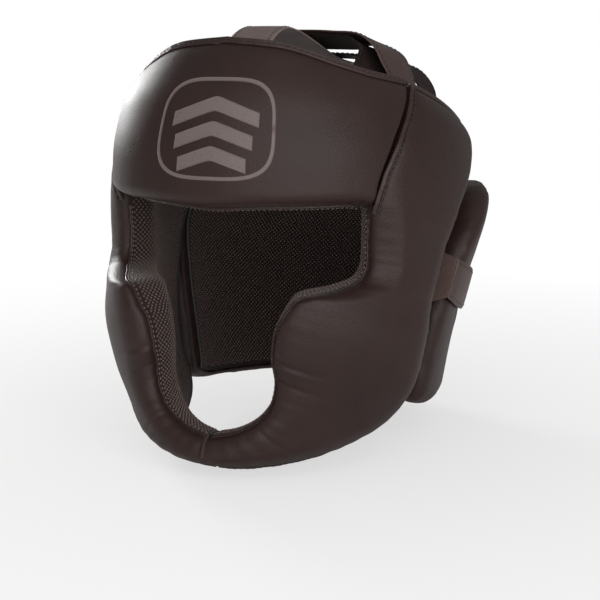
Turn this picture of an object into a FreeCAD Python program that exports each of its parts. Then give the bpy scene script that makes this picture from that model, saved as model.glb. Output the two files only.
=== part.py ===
import FreeCAD, Part
import math
import os

# Full-face boxing headgear.  Millimetres, +X to the wearer's left, -Y to the front, +Z up.
# The origin is the middle of the head cavity at brow level.
# Angles are in degrees about +Z, from the front (0) towards the wearer's left (90).

Vector = FreeCAD.Vector

# Head cavity: height, half width, front half depth, back half depth
CAVITY = [
    (-140, 57, 95, 68), (-115, 62, 97, 72), (-90, 71, 98, 78), (-60, 75, 98, 88), (-30, 77, 98, 95),
    (0, 78, 98, 98), (30, 77, 96, 96), (60, 70, 88, 87), (85, 57, 73, 73), (105, 42, 57, 57),
]
CAVITY_SQUARENESS = 2.15     # exponent of the horizontal outline, 2 being an ellipse

LEATHER = 1.4                # thickness of the covers
LINING = 1.2                 # thickness of the textile lining
CLEARANCE = 0.4              # gap between neighbouring layers
STRIP_RISE = 1.0             # height of a seam strip's underside over the covers
STRAP_RISE = 1.3             # height of the closure strap's underside over the rear pad
BINDING_GAP = 1.3            # gap under the edge bindings
FULL_PADDING = 27.5          # thickness of the padded wall where it is fullest
CHEEK_PADDING = 5            # further thickness of the cheek protector
FOREHEAD_TAPER = 3.5         # how much thinner the forehead panel is at its side seams
REAR_ROLL = 28               # width over which the wall rounds down to its outer edge

# Seam between the forehead panel and a side panel: height, angle
SEAM = [(3, 46.3), (20.5, 48.5), (38.5, 53.8), (58, 62.0), (71, 68.0)]
SEAM_GAP = 0.5               # degrees kept open on each side of the seam

# Forehead panel: angle, height of the crown rim, height of the lower edge
FOREHEAD_EDGES = [(0, 94, 3), (18, 91.5, 4.5), (40, 81, 4.5), (50, 76.5, 1.5), (68, 71, 1)]
FOREHEAD_RIM_DEPTH = 24.5    # wall thickness at the crown rim
SIDE_RIM_DROP = 3.5          # how much thinner the side panels are at the crown rim
FOREHEAD_BROW_DEPTH = 13     # wall thickness at the lower edge
FOREHEAD_BROW_SLANT = 5      # how much higher the cover ends than the lining at the lower edge
FOREHEAD_BROW_ROLL = 14
FOREHEAD_RIM_ROLL = 26

# Side panel, from the crown rim behind the eye and round the cheek to the middle of the chin.
# Each line crosses the panel: inner edge angle, height and depth, outer edge angle, height and
# depth, roll width behind the inner edge and the fullness of that roll.
SIDE_LINES = [
    (68.0, 71, 22, 125, 40, 12, 14, 2.2),
    (62.0, 58, 23, 119, 24, 12, 14, 2.2),
    (53.8, 38.5, 24, 108, 10, 12, 12, 2.2),
    (48.5, 20.5, 23, 98, -2, 11, 14, 2.0),
    (46.3, 3, 19.5, 92, -12, 11, 17, 1.4),
    (46.3, -11, 18, 87, -22, 11, 17, 1.25),
    (46.2, -21, 19, 84, -33, 11, 17, 1.25),
    (43.5, -30, 20.5, 81, -44, 11, 17, 1.4),
    (35.5, -34.2, 24, 78.5, -55, 11, 17, 1.8),
    (25.5, -36.7, 29.5, 76.5, -67, 11, 16, 2.2),
    (21.7, -44.5, 29, 75, -79, 11, 16, 2.3),
    (18.9, -57, 25.7, 73.8, -91, 11, 16, 2.3),
    (18.1, -71, 23.5, 71.5, -105.5, 11, 16, 2.3),
    (18.8, -84, 21.2, 65, -119, 10, 16, 2.3),
    (18.0, -94, 21, 52, -127, 9, 15, 2.3),
    (15.5, -102, 21, 38, -131, 9, 14, 2.3),
    (11.8, -108, 21, 24, -132.5, 11, 13, 2.3),
    (6.0, -113, 21, 12, -134, 12, 13, 2.3),
    (0.3, -115.5, 21, 0.3, -135, 12, 13, 2.3),
]
SIDE_SPANS = len(SIDE_LINES) - 1
SIDE_FOAM_END = 6.4          # the panel lines where one foam block ends and the next begins
CHEEK_FOAM_END = 13.4
CHIN_STRIP_LINE = 17.8       # where the chin seam strip's edge lies
FOAM_GAP = 0.06              # part of a span kept open between foam blocks
FOAM_MARGIN = 2.3            # distance from the foam to the edges of the side panel

# Rear pad: its outer surface by height, half width and half depth; ends by share of height
REAR_PAD_SURFACE = [(-130, 85, 99), (-85, 92, 111), (-45, 101, 124), (0, 113, 135), (18, 114, 137)]
REAR_PAD_ENDS = [
    (0, 118), (0.07, 110.5), (0.14, 103.5), (0.22, 97), (0.3, 92.5), (0.42, 88), (0.6, 83.5), (0.8, 80.5), (1, 78.5),
]
REAR_PAD_END_HEIGHTS = (15, -117)
REAR_PAD_MIDDLE_HEIGHTS = (-1, -124)
REAR_PAD_DEPTH = 24          # full thickness of the pad
REAR_PAD_EDGE = 11           # thickness left at its rounded edges
REAR_PAD_ROLL = 13
REAR_PAD_HALF_LENGTH = 197   # along its outer face, from the middle of the back to an end

# Hinge line of the rear pad on the left side; the closure tab folds on its mirror image
HINGE_TOP = Vector(110.7, 9, 12)
HINGE_BOTTOM = Vector(90.5, -30, -110)

STRAP = 1.6                  # thickness of the straps
STRAP_PATCH = 1.0            # thickness of hook and loop patches
PATCH_GAP = 0.7              # gap between the closure's layers
CLOSURE_BAND = (0.395, 0.575)  # the closure strap's edges, as shares of the pad's height
CLOSURE_CLIMB = 0.07         # share by which the strap climbs towards its ends
TAB_LINES = (5.5, 7.5)       # the closure tab's edges on the right side panel
ANCHOR_LINES = (5.1, 7.9)    # the anchor's edges along the left side panel's rear edge
TAB_REACH = 0.63             # how far forward the tab reaches over the panel

STRAP_LINING = 1.0           # thickness of the webbing under the front crown strap
CROWN_WIDTH = 27             # width of the crown straps


def smooth(rows, x):
    """Value at x of smooth curves through the rows; each row is x and one or more values."""
    if rows[0][0] > rows[-1][0]:
        rows = rows[::-1]
    x = min(max(x, rows[0][0]), rows[-1][0])
    k = 0
    while k < len(rows) - 2 and x > rows[k + 1][0]:
        k += 1

    def slope(i, c):
        if i in (0, len(rows) - 1):
            j = min(i, len(rows) - 2)
            return (rows[j + 1][c] - rows[j][c]) / (rows[j + 1][0] - rows[j][0])
        before = (rows[i][c] - rows[i - 1][c]) / (rows[i][0] - rows[i - 1][0])
        after = (rows[i + 1][c] - rows[i][c]) / (rows[i + 1][0] - rows[i][0])
        return 2 * before * after / (before + after) if before * after > 0 else 0

    h = rows[k + 1][0] - rows[k][0]
    t = (x - rows[k][0]) / h
    values = []
    for c in range(1, len(rows[0])):
        a, b = rows[k][c], rows[k + 1][c]
        values.append(
            a * (1 + 2 * t) * (1 - t) ** 2 + b * t * t * (3 - 2 * t)
            + h * slope(k, c) * t * (1 - t) ** 2 - h * slope(k + 1, c) * t * t * (1 - t)
        )
    return values[0] if len(values) == 1 else values


def roll(distance, width, fullness=2.2):
    """Share of the full depth reached at a distance from an edge that is rolled over a width."""
    return 1 - (1 - min(max(distance / width, 0), 1)) ** fullness


def cavity_radius(angle, z):
    """Distance from the axis to the inner surface."""
    half_width, front, back = smooth(CAVITY, z)
    s = abs(math.sin(math.radians(angle)))
    c = math.cos(math.radians(angle))
    half_depth = front if c > 0 else back
    p = CAVITY_SQUARENESS
    return ((s / half_width) ** p + (abs(c) / half_depth) ** p) ** (-1 / p)


def polar(angle, z, radius):
    a = math.radians(angle)
    return Vector(radius * math.sin(a), -radius * math.cos(a), z)


def mirrored(point):
    return Vector(-point.x, point.y, point.z)


def side_line(line):
    """Interpolated values of the side panel's table at a line number."""
    rows = [(i,) + row for i, row in enumerate(SIDE_LINES)]
    return smooth(rows, line)


def side_width(line):
    a0, z0, _, a1, z1 = side_line(line)[:5]
    return math.hypot(math.radians(a1 - a0) * 100, z1 - z0)


def side_outer(line, across):
    """Outer surface of the left side panel; across runs from the face opening (0) outwards (1)."""
    a0, z0, depth0, a1, z1, depth1, inner_roll, fullness = side_line(line)
    width = side_width(line)
    angle = a0 + (a1 - a0) * across
    z = z0 + (z1 - z0) * across
    rise = roll(across * width, inner_roll, fullness)
    fall = roll((1 - across) * width, min(REAR_ROLL, width / 2))
    full = FULL_PADDING - FOREHEAD_TAPER * (1 - roll(line, 6))
    full += CHEEK_PADDING * math.exp(-((line - 10.3) / 2.6) ** 2) - SIDE_RIM_DROP * (1 - roll(line, 0.9))
    depth = full * rise * fall + depth0 * (1 - rise) + depth1 * rise * (1 - fall)
    return polar(angle, z, cavity_radius(angle, z) + depth)


def side_inner(line, across):
    a0, z0, _, a1, z1 = side_line(line)[:5]
    angle = a0 + (a1 - a0) * across
    z = z0 + (z1 - z0) * across
    return polar(angle, z, cavity_radius(angle, z))


def forehead_place(across, up):
    """Angle, height and height limits of a point on the forehead panel; across is -1 to 1."""
    seam_z = SEAM[0][0] + (SEAM[-1][0] - SEAM[0][0]) * up
    angle = across * (smooth(SEAM, seam_z) - SEAM_GAP)
    rim, brow = smooth(FOREHEAD_EDGES, abs(angle))
    return angle, brow + (rim - brow) * up, rim, brow


def forehead_outer(across, up):
    angle, z, rim, brow = forehead_place(across, up)
    rise = roll(z - brow, FOREHEAD_BROW_ROLL)
    fall = roll(rim - z, FOREHEAD_RIM_ROLL)
    taper = FOREHEAD_TAPER * abs(across) ** 3
    depth = (FULL_PADDING - taper) * rise * fall + FOREHEAD_BROW_DEPTH * (1 - rise)
    depth += (FOREHEAD_RIM_DEPTH - taper) * (1 - fall)
    z += FOREHEAD_BROW_SLANT * (1 - rise)
    return polar(angle, z, cavity_radius(angle, z) + depth)


def forehead_inner(across, up):
    angle, z = forehead_place(across, up)[:2]
    return polar(angle, z, cavity_radius(angle, z))


def pad_place(across, down):
    """Angle and height on the rear pad; across is -1 at its left end and 1 at its right end."""
    ends = math.copysign(1, across) * max(0, abs(across) - 0.8) / 0.2
    down = 0.5 + (down - 0.5) * (1 - 0.1 * ends * ends)
    end_angle = smooth(REAR_PAD_ENDS, down)
    angle = 180 + (180 - end_angle) * across
    end_z = REAR_PAD_END_HEIGHTS[0] + (REAR_PAD_END_HEIGHTS[1] - REAR_PAD_END_HEIGHTS[0]) * down
    middle_z = REAR_PAD_MIDDLE_HEIGHTS[0] + (REAR_PAD_MIDDLE_HEIGHTS[1] - REAR_PAD_MIDDLE_HEIGHTS[0]) * down
    return angle, middle_z + (end_z - middle_z) * across * across


def pad_surface(across, down, side, inset):
    """Face of the rear pad: side is 1 outside and -1 inside, inset is how far below the face."""
    angle, z = pad_place(across, down)
    half_width, half_depth = smooth(REAR_PAD_SURFACE, z)
    a = math.radians(angle)
    middle = REAR_PAD_DEPTH / 2
    radius = 1 / math.hypot(math.sin(a) / (half_width - middle), math.cos(a) / (half_depth - middle))
    height = REAR_PAD_END_HEIGHTS[0] - REAR_PAD_END_HEIGHTS[1]
    full = (
        roll((1 - abs(across)) * REAR_PAD_HALF_LENGTH, REAR_PAD_ROLL)
        * roll(down * height, REAR_PAD_ROLL) * roll((1 - down) * height, REAR_PAD_ROLL)
    )
    depth = REAR_PAD_EDGE + (REAR_PAD_DEPTH - REAR_PAD_EDGE) * full
    return polar(angle, z, radius + side * (depth / 2 - inset))


def spread(start, stop, count, edges=False):
    """Evenly spaced values, or closer together near both ends."""
    shares = [i / (count - 1) for i in range(count)]
    if edges:
        shares = [0.5 - 0.5 * math.cos(math.pi * t) for t in shares]
    return [start + (stop - start) * t for t in shares]


def grid(surface, rows, columns):
    return [[surface(a, b) for b in columns] for a in rows]


def sunk(surface, rows, columns, distance):
    """Grid of points a distance below a surface, measured along its normals."""
    step = 1e-3
    points = []
    for a in rows:
        row = []
        for b in columns:
            low, high = surface(a - step, b), surface(a + step, b)
            left, right = surface(a, b - step), surface(a, b + step)
            normal = (high - low).cross(right - left).normalize()
            here = surface(a, b)
            if normal.dot(Vector(here.x, here.y, 0)) < 0:
                normal = -normal
            row.append(here - normal * distance)
        points.append(row)
    return points


def radial(point):
    return Vector(point.x, point.y, 0).normalize()


def sheet_solid(near, far):
    """Closed solid between two smooth sheets given as grids of points."""
    faces = []
    borders = []
    for points in (near, far):
        sheet = Part.BSplineSurface()
        sheet.interpolate(points)
        u0, u1, v0, v1 = sheet.bounds()
        borders.append([sheet.uIso(u0), sheet.uIso(u1), sheet.vIso(v0), sheet.vIso(v1)])
        faces.append(sheet.toShape())
    for one, other in zip(*borders):
        faces.append(Part.makeRuledSurface(one.toShape(), other.toShape()))
    shell = Part.makeShell(faces)
    shell.sewShape()
    solid = Part.makeSolid(shell)
    if solid.Volume < 0:
        solid.reverse()
    return solid


def band(low, high, lifts):
    """Strap between two edge lines; lifts are its thickness vectors, one for each pair of points."""
    sections = []
    for a, b, lift in zip(low, high, lifts):
        sections.append(Part.makePolygon([a, b, b + lift, a + lift, a]))
    return Part.makeLoft(sections, True, True)


def ribbon(low, high, thickness, outside, count=25):
    """Strap between two curved edges; outside is a vector on the side that its thickness grows to."""
    edges = []
    for points in (low, high):
        curve = Part.BSplineCurve()
        curve.interpolate(points)
        edges.append(curve.discretize(count))
    lifts = []
    for k in range(count):
        first, last = max(k - 1, 0), min(k + 1, count - 1)
        ahead = edges[0][last] - edges[0][first] + edges[1][last] - edges[1][first]
        normal = (edges[1][k] - edges[0][k]).cross(ahead).normalize()
        if k == 0 and normal.dot(outside) < 0:
            thickness = -thickness
        lifts.append(normal * thickness)
    return band(edges[0], edges[1], lifts)


def between(a, b, distance):
    """Point at a distance from a on the way to b."""
    return a + (b - a).normalize() * distance


def binding(outer_edge, inner_edge, away, width=3.2, thickness=1.2):
    """Narrow tape sewn over the corner where a cover meets the wall of its panel."""
    top = [a + d * BINDING_GAP for a, d in zip(outer_edge, away)]
    low = [between(a, b, width) + d * BINDING_GAP for a, b, d in zip(outer_edge, inner_edge, away)]
    return band(low, top, [d * thickness for d in away])


def save(name, solid):
    solid.exportStep("parts/" + name + ".step")


def save_pair(name, left):
    """Save a piece of the wearer's left side and its mirror image on the right."""
    save("left_" + name, left)
    save("right_" + name, left.mirror(Vector(0, 0, 0), Vector(1, 0, 0)))


def wall(outer, inner, edge_points, step_points):
    """Lining of the wall between a panel's faces, from the edge a small step into the panel."""
    sheets = []
    for points in (edge_points, step_points):
        rows = []
        for (a, b), (c, d) in zip(points, edge_points):
            face, back = outer(a, b), inner(a, b)
            depth = (outer(c, d) - inner(c, d)).Length
            row = []
            for share in spread(LINING + CLEARANCE, depth - LEATHER - 2 * CLEARANCE, 4):
                row.append(between(back, face, share))
            rows.append(row)
        sheets.append(rows)
    return sheet_solid(*sheets)


def forehead_panel():
    """Padded brow panel: leather cover, foam and wrapped lining."""
    across = spread(-1, 1, 33)
    up = spread(0, 1, 15, True)
    cover = sheet_solid(grid(forehead_outer, across, up), sunk(forehead_outer, across, up, LEATHER))
    save("forehead_cover", cover)

    foam_up = spread(0.045, 0.97, 13, True)
    foam = sheet_solid(
        sunk(forehead_outer, spread(-0.985, 0.985, 33), foam_up, LEATHER + CLEARANCE),
        sunk(forehead_inner, spread(-0.985, 0.985, 33), foam_up, -LINING - CLEARANCE),
    )
    save("forehead_foam", foam)

    lining = sheet_solid(
        sunk(forehead_inner, across, spread(0.0, 0.97, 12), 0),
        sunk(forehead_inner, across, spread(0.0, 0.97, 12), -LINING),
    )
    save("forehead_lining", lining)

    ends = spread(-0.985, 0.985, 33)
    for name, edge, into in (("forehead_brow_wall", 0, 0.016), ("forehead_rim_cap", 1, -0.016)):
        edge_points = [(a, edge) for a in ends]
        step_points = [(a, edge + into) for a in ends]
        save(name, wall(forehead_outer, forehead_inner, edge_points, step_points))
    for name, edge, direction in (("forehead_brow_binding", 0, -1), ("forehead_rim_binding", 1, 1)):
        outer_edge = [forehead_outer(a, edge) for a in ends]
        inner_edge = [forehead_inner(a, edge) for a in ends]
        away = [Vector(0, 0, direction)] * len(ends)
        save(name, binding(outer_edge, inner_edge, away))


def foam_block(start, stop):
    """Part of the side panel's foam, kept a few millimetres from both edges of the panel."""
    def inset(surface):
        def place(line, share):
            margin = FOAM_MARGIN / side_width(line)
            return surface(line, margin + share * (1 - 2 * margin))
        return place

    lines = spread(start + FOAM_GAP, stop - FOAM_GAP, 17)
    across = spread(0, 1, 13, True)
    return sheet_solid(
        sunk(inset(side_outer), lines, across, LEATHER + CLEARANCE),
        sunk(inset(side_inner), lines, across, -LINING - CLEARANCE),
    )


def side_panels():
    """Padded panels that run from the crown rim round the cheek to the chin."""
    lines = spread(0.02, SIDE_SPANS, 61)
    across = spread(0, 1, 17, True)
    save_pair("side_cover", sheet_solid(grid(side_outer, lines, across), sunk(side_outer, lines, across, LEATHER)))
    save_pair("side_foam", foam_block(0.1, SIDE_FOAM_END))
    save_pair("cheek_foam", foam_block(SIDE_FOAM_END, CHEEK_FOAM_END))
    save_pair("chin_foam", foam_block(CHEEK_FOAM_END, SIDE_SPANS))
    inside = spread(0.0, 1.0, 13)
    save_pair("side_lining", sheet_solid(grid(side_inner, lines, inside), sunk(side_inner, lines, inside, -LINING)))

    for name, edge, start in (("face_wall", 0, 4.3), ("outer_wall", 1, 0.4)):
        points = spread(start, SIDE_SPANS, 49)
        into = 1 if edge == 0 else -1
        edge_points = [(a, edge) for a in points]
        step_points = [(a, edge + into * LINING / side_width(a)) for a in points]
        save_pair(name, wall(side_outer, side_inner, edge_points, step_points))

    for name, edge, start in (("face_binding", 0, 4.3), ("outer_binding", 1, 0.4)):
        points = spread(start, SIDE_SPANS, 49)
        outer_edge = [side_outer(a, edge) for a in points]
        inner_edge = [side_inner(a, edge) for a in points]
        away = []
        for a in points:
            near, far = side_inner(a, edge), side_inner(a, edge + (0.05 if edge else -0.05))
            away.append((far - near).normalize())
        save_pair(name, binding(outer_edge, inner_edge, away))

    rim = spread(0.03, 0.97, 17)
    cap = wall(side_outer, side_inner, [(0.02, b) for b in rim], [(0.09, b) for b in rim])
    save_pair("rim_cap", cap)
    outer_edge = [side_outer(0.02, b) for b in rim]
    inner_edge = [side_inner(0.02, b) for b in rim]
    away = []
    for b in rim:
        away.append((side_inner(0.02, b) - side_inner(0.12, b)).normalize())
    save_pair("rim_binding", binding(outer_edge, inner_edge, away))


def seam_strips():
    """Topstitched strips over the seams between the panels."""
    low = []
    high = []
    for line in spread(0.1, 3.9, 21):
        share = (side_line(line)[1] - SEAM[0][0]) / (SEAM[-1][0] - SEAM[0][0])
        front = forehead_outer(0.982, share)
        back = side_outer(line, 1.4 / side_width(line))
        low.append(front + radial(front) * STRIP_RISE)
        high.append(back + radial(back) * STRIP_RISE)
    save_pair("seam_strip", band(low, high, [radial(a) for a in low]))

    low = []
    high = []
    lifts = []
    for across in spread(0.06, 0.94, 15):
        point = side_outer(CHIN_STRIP_LINE, across)
        step = side_outer(CHIN_STRIP_LINE, across + 0.01) - side_outer(CHIN_STRIP_LINE, across - 0.01)
        normal = step.cross(Vector(1, 0, 0)).normalize()
        if normal.y > 0:
            normal = -normal
        low.append(point + normal * CLEARANCE)
        high.append(mirrored(point) + normal * CLEARANCE)
        lifts.append(normal)
    save("chin_seam_strip", band(low, high, lifts))


def rear_pad():
    """Padded neck pad that closes the back, with the closure strap over its outer face."""
    across = spread(-1, 1, 41, True)
    down = spread(0, 1, 15, True)
    inner_across = spread(-0.985, 0.985, 41, True)
    inner_down = spread(0.025, 0.975, 15, True)

    def face(side, inset):
        return [[pad_surface(a, b, side, inset) for b in down] for a in across]

    def foam_face(side):
        return [[pad_surface(a, b, side, LEATHER + CLEARANCE + 0.2) for b in inner_down] for a in inner_across]

    save("rear_pad_cover", sheet_solid(face(1, 0), face(1, LEATHER)))
    save("rear_pad_lining", sheet_solid(face(-1, 0), face(-1, LEATHER)))
    save("rear_pad_foam", sheet_solid(foam_face(1), foam_face(-1)))

    def gusset(edge_points, step_points):
        sheets = []
        for points in (edge_points, step_points):
            rows = []
            for a, b in points:
                inside = pad_surface(a, b, -1, LEATHER + CLEARANCE)
                outside = pad_surface(a, b, 1, LEATHER + CLEARANCE)
                rows.append([inside + (outside - inside) * t for t in spread(0, 1, 4)])
            sheets.append(rows)
        return sheet_solid(*sheets)

    ends = spread(-0.97, 0.97, 33)
    save("rear_pad_top_gusset", gusset([(a, 0) for a in ends], [(a, 0.012) for a in ends]))
    save("rear_pad_bottom_gusset", gusset([(a, 1) for a in ends], [(a, 0.988) for a in ends]))
    heights = spread(0.03, 0.97, 13)
    save("rear_pad_left_gusset", gusset([(-1, b) for b in heights], [(-0.992, b) for b in heights]))
    save("rear_pad_right_gusset", gusset([(1, b) for b in heights], [(0.992, b) for b in heights]))

    low = []
    high = []
    for a in spread(-1, 1, 41):
        row = []
        for middle_share in CLOSURE_BAND:
            share = middle_share - CLOSURE_CLIMB * a ** 6
            on_hinge = HINGE_TOP + (HINGE_BOTTOM - HINGE_TOP) * share
            if a > 0:
                on_hinge = mirrored(on_hinge)
            on_hinge = on_hinge - radial(on_hinge) * STRAP + Vector(0, CLEARANCE, 0)
            on_pad = pad_surface(a, share, 1, -STRAP_RISE)
            pull = max(0, (abs(a) - 0.86) / 0.14) ** 2
            row.append(on_pad + (on_hinge - on_pad) * pull)
        low.append(row[1])
        high.append(row[0])
    save("closure_strap", band(low, high, [radial(a) * STRAP for a in low]))


def strap_anchor():
    """Webbing sewn to the left side panel's rear edge, which the closure strap folds about."""
    edges = []
    for line, middle_share in zip(ANCHOR_LINES, CLOSURE_BAND):
        on_hinge = HINGE_TOP + (HINGE_BOTTOM - HINGE_TOP) * (middle_share - CLOSURE_CLIMB)
        on_panel = side_outer(line, 1) + Vector(0, 2.6, 0)
        edges.append([on_panel, on_hinge - radial(on_hinge) * STRAP - Vector(0, CLEARANCE, 0)])
    high, low = edges
    lift = radial(high[1]) * STRAP
    save("left_strap_anchor", band(low, high, [lift, lift]))


def closure_tab():
    """Free end of the closure strap, held on the right side panel by hook and loop."""
    def panel_edges(raise_by, reaches):
        edges = []
        for line in TAB_LINES:
            edge = [mirrored(side_outer(line, b)) for b in reaches]
            edges.append([p + radial(p) * raise_by for p in edge])
        return edges

    outside = Vector(-1, 0, 0)
    patch_reaches = spread(TAB_REACH, 0.86, 4)
    height = PATCH_GAP
    save("right_loop_patch", ribbon(*panel_edges(height, patch_reaches), STRAP_PATCH, outside))
    height += STRAP_PATCH + PATCH_GAP
    save("closure_hook_patch", ribbon(*panel_edges(height, patch_reaches), STRAP_PATCH, outside))
    height += STRAP_PATCH + PATCH_GAP
    edges = panel_edges(height, [TAB_REACH - 0.03, 0.7, 0.78, 0.86])
    for edge, middle_share in zip(edges, CLOSURE_BAND):
        on_hinge = mirrored(HINGE_TOP + (HINGE_BOTTOM - HINGE_TOP) * (middle_share - CLOSURE_CLIMB))
        edge.append(on_hinge - radial(on_hinge) * STRAP - Vector(0, CLEARANCE, 0))
    save("closure_tab", ribbon(*edges, STRAP, outside))


def crown_arch(half, rise):
    """Edges of a strap over the crown from its left half, given as (front, rear) pairs of points."""
    pairs = half + [[mirrored(p) for p in pair] for pair in reversed(half[:-1])]
    edges = [[], []]
    for k, pair in enumerate(pairs):
        ahead = pairs[min(k + 1, len(pairs) - 1)][0] - pairs[max(k - 1, 0)][0]
        normal = (pair[1] - pair[0]).cross(ahead).normalize()
        if normal.dot(pair[0]) < 0:
            normal = -normal
        for edge, point in zip(edges, pair):
            edge.append(point + normal * rise)
    return edges


def crown_straps():
    """Straps over the top of the head that set how deep the headgear sits."""
    def inside(angle, z):
        return polar(angle, z, cavity_radius(angle, z) - STRAP - STRAP_LINING - 3 * CLEARANCE)

    left = Vector(1, 0, 0)
    front = [
        [inside(79, 46), inside(99, 42)], [inside(79, 56), inside(99, 51)],
        [Vector(58, -3, 71), Vector(65, 22, 64)], [Vector(51.5, -1, 81), Vector(61, 24, 74)],
        [Vector(46, 0, 90), Vector(56, 25, 83.5)], [Vector(39, 0, 95.5), Vector(47, 26, 88)],
        [Vector(20, 0, 98), Vector(24, 26, 89)], [Vector(0, 0, 98.5), Vector(0, 26, 89)],
    ]
    save("crown_front_webbing", ribbon(*crown_arch(front, 0), STRAP_LINING, left, 41))
    save("crown_front_strap", ribbon(*crown_arch(front, STRAP_LINING + CLEARANCE), STRAP, left, 41))

    rear = [
        [inside(102, 41), inside(121, 33)], [inside(102, 49.5), inside(121, 41.5)],
        [Vector(69.5, 27, 59.5), Vector(67, 53, 52)], [Vector(63, 28, 69.5), Vector(64, 55, 62)],
        [Vector(54, 29, 77.5), Vector(56, 57, 71.5)], [Vector(41, 30, 83), Vector(40, 58, 79)],
        [Vector(21, 30, 85.5), Vector(20, 58, 82)], [Vector(0, 30, 86), Vector(0, 58, 83)],
    ]
    save("crown_rear_strap", ribbon(*crown_arch(rear, 0), STRAP, left, 41))

    profile = [
        (-73.5, 78), (-67.5, 86), (-62, 93), (-54, 97.6), (-43, 100.6), (-30, 99.6), (-14, 95.8), (0, 91.8),
        (13, 87.8), (26, 84.2), (40, 81.6), (53, 79.8), (60, 79),
    ]
    edges = [[Vector(side * CROWN_WIDTH / 2, y, z) for y, z in profile] for side in (-1, 1)]
    save("crown_centre_strap", ribbon(*edges, STRAP, Vector(0, -1, 0), 41))


os.makedirs("parts", exist_ok=True)
forehead_panel()
side_panels()
seam_strips()
rear_pad()
strap_anchor()
closure_tab()
crown_straps()
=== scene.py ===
import math

import bpy
import numpy as np
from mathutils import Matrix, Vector, kdtree


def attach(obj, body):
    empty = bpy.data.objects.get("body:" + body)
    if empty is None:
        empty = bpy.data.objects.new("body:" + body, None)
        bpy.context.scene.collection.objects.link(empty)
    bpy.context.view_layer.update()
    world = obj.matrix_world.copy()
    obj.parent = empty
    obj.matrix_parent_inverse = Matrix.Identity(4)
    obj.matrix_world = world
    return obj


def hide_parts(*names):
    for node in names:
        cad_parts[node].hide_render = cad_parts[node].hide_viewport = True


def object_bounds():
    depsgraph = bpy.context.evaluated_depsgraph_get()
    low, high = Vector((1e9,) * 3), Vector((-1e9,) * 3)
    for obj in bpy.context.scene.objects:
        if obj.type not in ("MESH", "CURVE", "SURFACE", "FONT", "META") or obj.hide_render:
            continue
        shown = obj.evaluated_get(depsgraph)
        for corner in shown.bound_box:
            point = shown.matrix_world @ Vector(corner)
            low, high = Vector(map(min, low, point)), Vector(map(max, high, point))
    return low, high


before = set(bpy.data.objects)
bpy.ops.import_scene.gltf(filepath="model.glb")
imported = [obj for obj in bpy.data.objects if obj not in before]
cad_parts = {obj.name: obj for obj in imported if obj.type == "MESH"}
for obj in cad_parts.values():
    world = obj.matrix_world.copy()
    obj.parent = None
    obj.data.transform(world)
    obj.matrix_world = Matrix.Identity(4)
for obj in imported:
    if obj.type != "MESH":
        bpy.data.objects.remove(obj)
cad_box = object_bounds()

# ---------------------------------------------------------------------------
# Brow panel.  A thick curved pad of closed-cell foam under synthetic leather,
# rolled under along the brow and along the crown rim, and sewn to its lining.
# Sizes are in millimetres and angles in degrees from the front.
# ---------------------------------------------------------------------------
MM = 0.001
HEAD_CAVITY = [              # height, half width, reach to the front and to the back
    (-140, 57, 95, 68), (-115, 62, 97, 72), (-90, 71, 98, 78), (-60, 75, 98, 88), (-30, 77, 98, 95),
    (0, 78, 98, 98), (30, 77, 96, 96), (60, 70, 88, 87), (85, 57, 73, 73), (105, 42, 57, 57),
]
HEAD_SQUARENESS = 2.15
FULL_PADDING = 27.5
BROW_SEAM = [(3, 46.3), (20.5, 48.5), (38.5, 53.8), (58, 62.0), (71, 68.0)]      # height, angle
BROW_EDGES = [               # angle, heights of the rim and of the lower edge
    (0, 94, 3), (18, 91.5, 4.5), (40, 81, 4.5), (50, 76.5, 1.5), (68, 71, 1),
]
BROW_RIM_DEPTH, BROW_LOWER_DEPTH, BROW_SLANT, BROW_TAPER = 24.5, 13, 5, 3.5
BROW_LOWER_ROLL, BROW_RIM_ROLL = 14, 26
BROW_HALF_LENGTH = 125       # along the outer face, from the middle to a seam
SEAM_GAP = 0.3               # angle left free between the brow panel and each seam
SEAM_DIP, SEAM_ROLL = 2.6, 3.0          # how far the covers dive into the seams, and over what width
CREASE_DEPTH, CREASE_REACH = 1.5, 1.1   # the same where cover and lining are sewn together
COVER_THICKNESS = 1.3


def smooth(rows, x):
    """Cubic curves through rows of (x, values...).  Slopes at the rows are the harmonic mean
    of the neighbouring slopes, or zero at a turning point, so no curve overshoots its rows."""
    rows = np.asarray(rows, float)
    if rows[0, 0] > rows[-1, 0]:
        rows = rows[::-1]
    knots, values = rows[:, 0], rows[:, 1:]
    step = np.diff(knots)[:, None]
    secant = np.diff(values, axis=0) / step
    product = secant[:-1] * secant[1:]
    total = np.where(product > 0, secant[:-1] + secant[1:], 1)
    slope = np.vstack([secant[:1], np.where(product > 0, 2 * product / total, 0), secant[-1:]])
    return cubic(knots, values, slope, x)


def cubic(knots, values, slope, x):
    """Cubic pieces with the given values and slopes at the knots (Hermite form)."""
    x = np.clip(np.asarray(x, float), knots[0], knots[-1])
    k = np.clip(np.searchsorted(knots, x, side="right") - 1, 0, len(knots) - 2)
    h = np.diff(knots)[k][..., None]
    t = (x - knots[k])[..., None] / h
    curve = values[k] * (1 + 2 * t) * (1 - t) ** 2 + values[k + 1] * t * t * (3 - 2 * t)
    curve += h * slope[k] * t * (1 - t) ** 2 - h * slope[k + 1] * t * t * (1 - t)
    return np.moveaxis(curve, -1, 0)


def roll(distance, width, fullness=2.2):
    """Share of the full depth at a distance from a rolled edge: 1 - (1 - distance / width) ^ fullness."""
    return 1 - (1 - np.clip(distance / width, 0, 1)) ** fullness


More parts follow.
